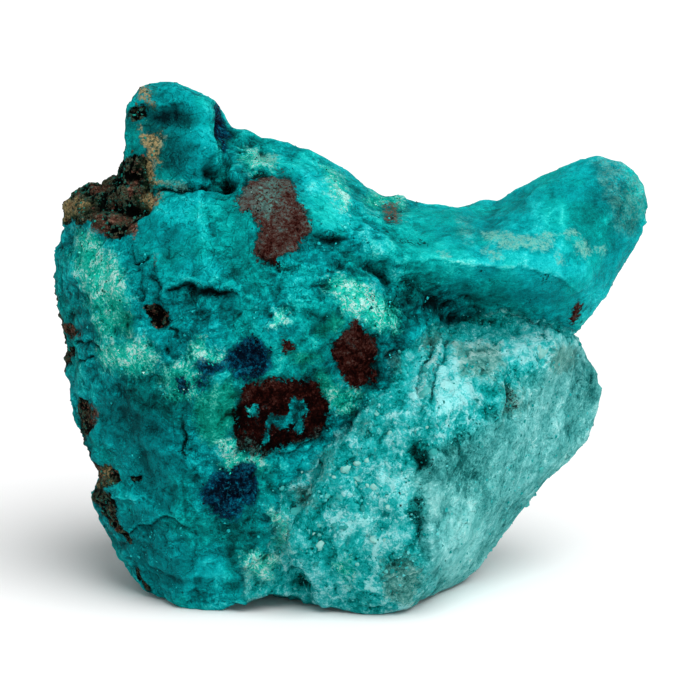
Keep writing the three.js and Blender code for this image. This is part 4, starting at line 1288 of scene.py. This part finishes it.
    # azurite; cuprite, near black low down and pinker higher up
    blue = (f.painted("azurite") + fray * 0.8).step(-0.25, 0.25)
    blueShade = (middle - 0.5) * 2.3 + (fine - 0.5) * 1.6 + (grit - 0.5) * 1.3 + 0.56 + tone
    blueShade = blueShade - f.painted("azurite").under(2) * 0.06
    colour = f.mix(blue * 0.98, colour, f.ramp(blueShade, look["azurite"]))
    oxide = (f.painted("cuprite") + fray * 0.95).step(-0.08, 0.12)
    oxide = oxide * (1 - (f.painted("window") + fray * 0.6).step(-0.08, 0.14))
    oxide = oxide * (1 - mixed.step(0.60, 0.68) * 0.9)
    oxideShade = (height - 20) * 0.0285 + 0.04 + (mixed - 0.5) * 1.8 + (grit - 0.5) * 1.9
    oxideShade = oxideShade + (middle - 0.5) * 1.2 + patches * 0.10
    veil = (f.painted("veil") + fray * 1.2).step(-0.4, 0.5) * oxide * grit.step(0.42, 0.60)
    rim = (f.painted("cuprite") + fray * 0.7).step(-0.9, -0.1) * mixed.step(0.44, 0.56)
    colour = f.mix(rim * 0.75, colour, look["black"])
    colour = f.mix(oxide, colour, f.ramp(oxideShade, look["cuprite"]))
    colour = f.mix(veil * 0.6, colour, f.ramp(value - 0.08, look["grey"]))

    # dark cracks, which are painted shade in the clefts, and painted shade in the deepest hollows
    crackWide = abs(f.painted("crackSide") + (fine - 0.5) * 1.2)
    crackThere = (f.painted("crackDark") + (middle - 0.5) * 1.8).step(0.25, 0.9)
    crack = (1 - crackWide.step(0.03, 0.20)) * crackThere
    # painted shade: the deepest hollows are darkened
    deepHollowShade = (fineHollow + (grit - 0.5) * 0.14).step(0.12, 0.26) * (1 - 0.5 * sandy)
    black = (f.painted("tenorite") + fray * 0.8).step(0.0, 0.25) * grit.step(0.44, 0.58)
    colour = f.mix((crack * 0.9).over(deepHollowShade * 0.8).over(black * 0.95), colour, look["black"])

    roughness = look["roughness"] - horn * 0.10 + (fine - 0.5) * 0.5
    relief = (middle * 1.2 + fine * 1.6 + streaks * 0.8) * rough
    relief = relief + dust * 0.35 - darkThreads * 0.4 - hairCracks * 0.5
    relief = relief + (mixed * 1.6 + grit * 1.4 + grains * 0.3 + splinters * 0.3) * inSand * grainy
    relief = relief - crack * 0.9
    relief = relief + hairs * (wisp * 0.5 + 0.15) + grit * (oxide + blue + crust + green) * 1.3
    return f.end(colour, roughness, relief, look["bumpDepth"], look["specular"])


def addPiece(name, mesh, finish):
    piece = bpy.data.objects.new(name, mesh)
    bpy.context.scene.collection.objects.link(piece)
    mesh.materials.clear()
    mesh.materials.append(finish)
    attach(piece, "root")
    return piece


stoneMesh, sheets, kept = shapeStone()
paintStone(stoneMesh, sheets, kept)
stoneMesh.shade_smooth()
stone = addPiece("chrysocollaStone", stoneMesh, stoneFinish())
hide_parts("chrysocolla_stone")
print("stone has", sum(len(p.vertices) - 2 for p in stoneMesh.polygons), "triangles")


def unit(rows):
    return rows / np.linalg.norm(rows, axis=1)[:, None]


def smallSolid(kind):
    # the points and triangles of one small solid with a radius of about 1
    work = bmesh.new()
    if kind == "lump":
        bmesh.ops.create_icosphere(work, subdivisions=2, radius=1)
    elif kind == "chip":
        bmesh.ops.create_icosphere(work, subdivisions=1, radius=1)
    elif kind == "prism":
        bmesh.ops.create_cone(work, cap_ends=True, segments=5, radius1=0.55, radius2=0.5, depth=2)
    bmesh.ops.triangulate(work, faces=work.faces)
    points = np.array([v.co for v in work.verts])
    faces = np.array([[v.index for v in f.verts] for f in work.faces])
    work.free()
    return points, faces


def places(weight, count, rng):
    # random places on the stone, likelier where weight is high
    stoneMesh.calc_loop_triangles()
    corners = np.zeros(len(stoneMesh.loop_triangles) * 3, int)
    stoneMesh.loop_triangles.foreach_get("vertices", corners)
    corners = corners.reshape(-1, 3)
    points, normals = pointsOf(stoneMesh), normalsOf(stoneMesh)
    a, b, c = (points[corners[:, i]] for i in range(3))
    chance = np.linalg.norm(np.cross(b - a, c - a), axis=1) * weight[corners].mean(1)
    chance[a[:, 2] < 1.2 * mm] = 0
    chosen = corners[rng.choice(len(corners), count, p=chance / chance.sum())]
    shares = rng.dirichlet((1, 1, 1), count)
    where = np.einsum("ij,ijk->ik", shares, points[chosen])
    return where, unit(np.einsum("ij,ijk->ik", shares, normals[chosen]))


def crumbFinish(look):
    f = Finish(look["finish"])
    grit = f.noise(0.18, 3, 0.7)
    shade = f.painted("shade") + (grit - 0.5) * 0.5 + (f.noise(0.9, 3, 0.6) - 0.5) * 0.7
    roughness = look["roughness"] + (grit - 0.5) * 0.4
    return f.end(f.ramp(shade, look["stops"]), roughness, grit, look["bumpDepth"], look["specular"])


def strew(name, look, weight):
    # many copies of one small solid, each with its own size, turn, dents and shade, joined into one piece
    rng = np.random.default_rng(look["seed"])
    count = look["count"]
    base, faces = smallSolid(look["kind"])
    where, normals = places(weight, count, rng)
    low, high = look["size"]
    size = (low + (high - low) * rng.random(count) ** look["fewLarge"]) * mm
    along = unit(rng.normal(size=(count, 3)))
    across = unit(np.cross(along, rng.normal(size=(count, 3))))
    axes = np.stack([across, np.cross(along, across), along], 1)
    dents = 1 + look["dents"] * rng.normal(size=(count, len(base), 1))
    stretch = 1 + look["stretch"] * rng.uniform(-1, 1, (count, 1, 3))
    shaped = base[None] * dents * stretch * size[:, None, None]
    middles = where + normals * (size * look["lift"])[:, None]
    points = np.einsum("ijk,ikl->ijl", shaped, axes) + middles[:, None]
    points = np.clip(points.reshape(-1, 3), np.array(cadLow), np.array(cadHigh))
    joined = (faces[None] + np.arange(count)[:, None, None] * len(base)).reshape(-1, 3)
    mesh = bpy.data.meshes.new(name)
    mesh.from_pydata(points.tolist(), [], joined.tolist())
    clusters = noiseAt(where, look["clusters"], 2, look["seed"] * 3.1) * 0.9
    shades = np.clip(rng.random(count) * 0.4 + 0.3 + clusters, 0, 1)
    paint(mesh, "shade", np.repeat(shades, len(base)))
    addPiece(name, mesh, crumbFinish(look))
    print(name, len(joined), "triangles")


def inside(name, low=-0.4, high=0.2):
    # 1 inside a mineral's outlines, fading from 0 between low and high mm
    return smoothStep(painted[name], low, high)


painted = {}
for name in list(minerals) + list(kept) + ["tone"]:
    painted[name] = np.zeros(len(stoneMesh.vertices), np.float32)
    stoneMesh.attributes[name].data.foreach_get("value", painted[name])
stonePoints = pointsOf(stoneMesh)
patchy = smoothStep(noiseAt(stonePoints, 1.6, 3, 7.0), -0.5, 0.3)

# The small pieces. Sizes are radii in mm; fewLarge above 1 makes the small ones commoner; lift is how far a
# piece stands out of the stone, in radii; clusters is the size in mm of groups of one shade.
# The defaults hold where a piece doesn't say otherwise.
crumbDefaults = {"kind": "chip", "roughness": 0.6, "specular": 0.03, "bumpDepth": 0.05}
rustCrumbs = {
    **crumbDefaults, "count": 2400, "seed": 3,
    "size": (0.05, 0.18), "fewLarge": 2.2, "dents": 0.28, "stretch": 0.5, "lift": -0.1, "clusters": 1.6,
    "finish": "rustyCrust", "roughness": 0.8,
    "stops": stoneLook["crust"],
}
onPillar = inside("cream") * (stonePoints[:, 0] < -21 * mm)
strew("rustCrumbs", rustCrumbs, inside("crust", 0.3, 0.8) * (0.1 + patchy) + onPillar * 0.4)

azuriteCrystals = {
    **crumbDefaults, "kind": "prism", "count": 1300, "seed": 5,
    "size": (0.06, 0.20), "fewLarge": 1.6, "dents": 0.08, "stretch": 0.3, "lift": -0.1, "clusters": 1.5,
    "finish": "azuriteBlue", "roughness": 0.5, "specular": 0.05,
    "stops": stoneLook["azurite"][:1] + [(1.0, (0.0008, 0.085, 0.13))] + stoneLook["azurite"][2:4],
}
strew("azuriteCrystals", azuriteCrystals, inside("azurite", -0.2, 0.4) * (0.1 + patchy))

cupriteCrumbs = {
    **crumbDefaults, "count": 500, "seed": 7,
    "size": (0.05, 0.16), "fewLarge": 2.0, "dents": 0.2, "stretch": 0.4, "lift": -0.25, "clusters": 1.8,
    "finish": "cupriteRed",
    "stops": [(0.0, (0.002, 0.0004, 0.0003)), (1.0, (0.060, 0.020, 0.017)), (0.5, (0.010, 0.002, 0.0015))],
}
strew("cupriteCrumbs", cupriteCrumbs, inside("cuprite", -0.3, 0.1) * (1 - inside("window")))

quartzGrains = {
    **crumbDefaults, "kind": "lump", "count": 170, "seed": 11,
    "size": (0.25, 0.95), "fewLarge": 2.6, "dents": 0.09, "stretch": 0.3, "lift": -0.70, "clusters": 4.0,
    "finish": "greyQuartz", "roughness": 0.5, "specular": 0.08,
    "stops": [(0.0, (0.008, 0.20, 0.19)), (1.0, (0.22, 0.52, 0.48)), (0.5, (0.04, 0.36, 0.34))],
    "gathered": (-3.5, -15.3, 8.2, 7.1),  # most of them lie here: across, up, wide, tall
}
granular = painted["sandy"] * (1 - 0.85 * painted["smoothSand"])
lowLeft = sheets["front"].spot(*quartzGrains["gathered"])
strew("quartzGrains", quartzGrains, granular * (0.15 + lowLeft))

sandChips = {
    **crumbDefaults, "count": 3200, "seed": 13,
    "size": (0.06, 0.20), "fewLarge": 2.0, "dents": 0.2, "stretch": 0.45, "lift": -0.2, "clusters": 2.0,
    "finish": "crushedSand",
    "stops": [(0.0, (0.0008, 0.16, 0.15)), (1.0, (0.10, 0.52, 0.52)), (0.45, (0.006, 0.32, 0.31))],
}
loose = painted["sandy"] * (1 - 0.75 * painted["smoothSand"])
strew("sandChips", sandChips, loose * (0.1 + patchy))

silkCrumbs = {
    **crumbDefaults, "count": 900, "seed": 17,
    "size": (0.05, 0.13), "fewLarge": 1.8, "dents": 0.25, "stretch": 0.6, "lift": 0.0, "clusters": 1.4,
    "finish": "silkyCrumbs",
    "stops": stoneLook["silky"],
}
strew("silkCrumbs", silkCrumbs, inside("wisps", -0.8, 0.8) * (0.05 + patchy))

tealChips = {
    **crumbDefaults, "count": 2600, "seed": 19,
    "size": (0.06, 0.22), "fewLarge": 2.2, "dents": 0.22, "stretch": 0.5, "lift": -0.25, "clusters": 2.2,
    "finish": "tealChips",
    "stops": [(0.0, (0.0003, 0.060, 0.064)), (1.0, (0.02, 0.55, 0.56)), (0.5, (0.0005, 0.18, 0.19))],
}
otherMinerals = inside("cuprite") + inside("azurite") + inside("crust", 0.1, 0.5)
otherMinerals = otherMinerals + inside("malachite") + inside("tenorite")
plainTeal = (1 - painted["sandy"]) * (1 - painted["horn"]) * (1 - 0.8 * painted["calm"])
strew("tealChips", tealChips, plainTeal * (otherMinerals < 0.1) * patchy**3)

studio = {
    "floorSize": 12.0,  # m
    "floorColour": (0.90, 0.90, 0.90),
    "sky": 0.42,
    "keyStrength": 3.0, "keySpread": 50, "keyFrom": (0.30, -0.42, 0.86),
    "fillStrength": 0.55, "fillSpread": 60, "fillFrom": (0.55, -0.80, 0.18),
}


def makeStudio():
    work = bmesh.new()
    bmesh.ops.create_grid(work, x_segments=1, y_segments=1, size=studio["floorSize"] / 2)
    mesh = bpy.data.meshes.new("floor")
    work.to_mesh(mesh)
    work.free()
    floor = bpy.data.objects.new("floor", mesh)
    bpy.context.scene.collection.objects.link(floor)
    paper = bpy.data.materials.new("palePaper")
    paper.use_nodes = True
    shader = paper.node_tree.nodes["Principled BSDF"]
    shader.inputs["Base Color"].default_value = (*studio["floorColour"], 1)
    shader.inputs["Roughness"].default_value = 0.9
    shader.inputs["Specular IOR Level"].default_value = 0.0
    mesh.materials.append(paper)
    for name in ("key", "fill"):
        lamp = bpy.data.lights.new(name, "SUN")
        lamp.energy = studio[name + "Strength"]
        lamp.angle = math.radians(studio[name + "Spread"])
        light = bpy.data.objects.new(name, lamp)
        light.rotation_euler = Vector(studio[name + "From"]).to_track_quat("Z", "Y").to_euler()
        bpy.context.scene.collection.objects.link(light)
    world = bpy.data.worlds.new("white")
    world.use_nodes = True
    world.node_tree.nodes["Background"].inputs["Color"].default_value = (1, 1, 1, 1)
    world.node_tree.nodes["Background"].inputs["Strength"].default_value = studio["sky"]
    bpy.context.scene.world = world
    bpy.context.scene.view_settings.view_transform = "Standard"


makeStudio()
print("floor and lights are in place")
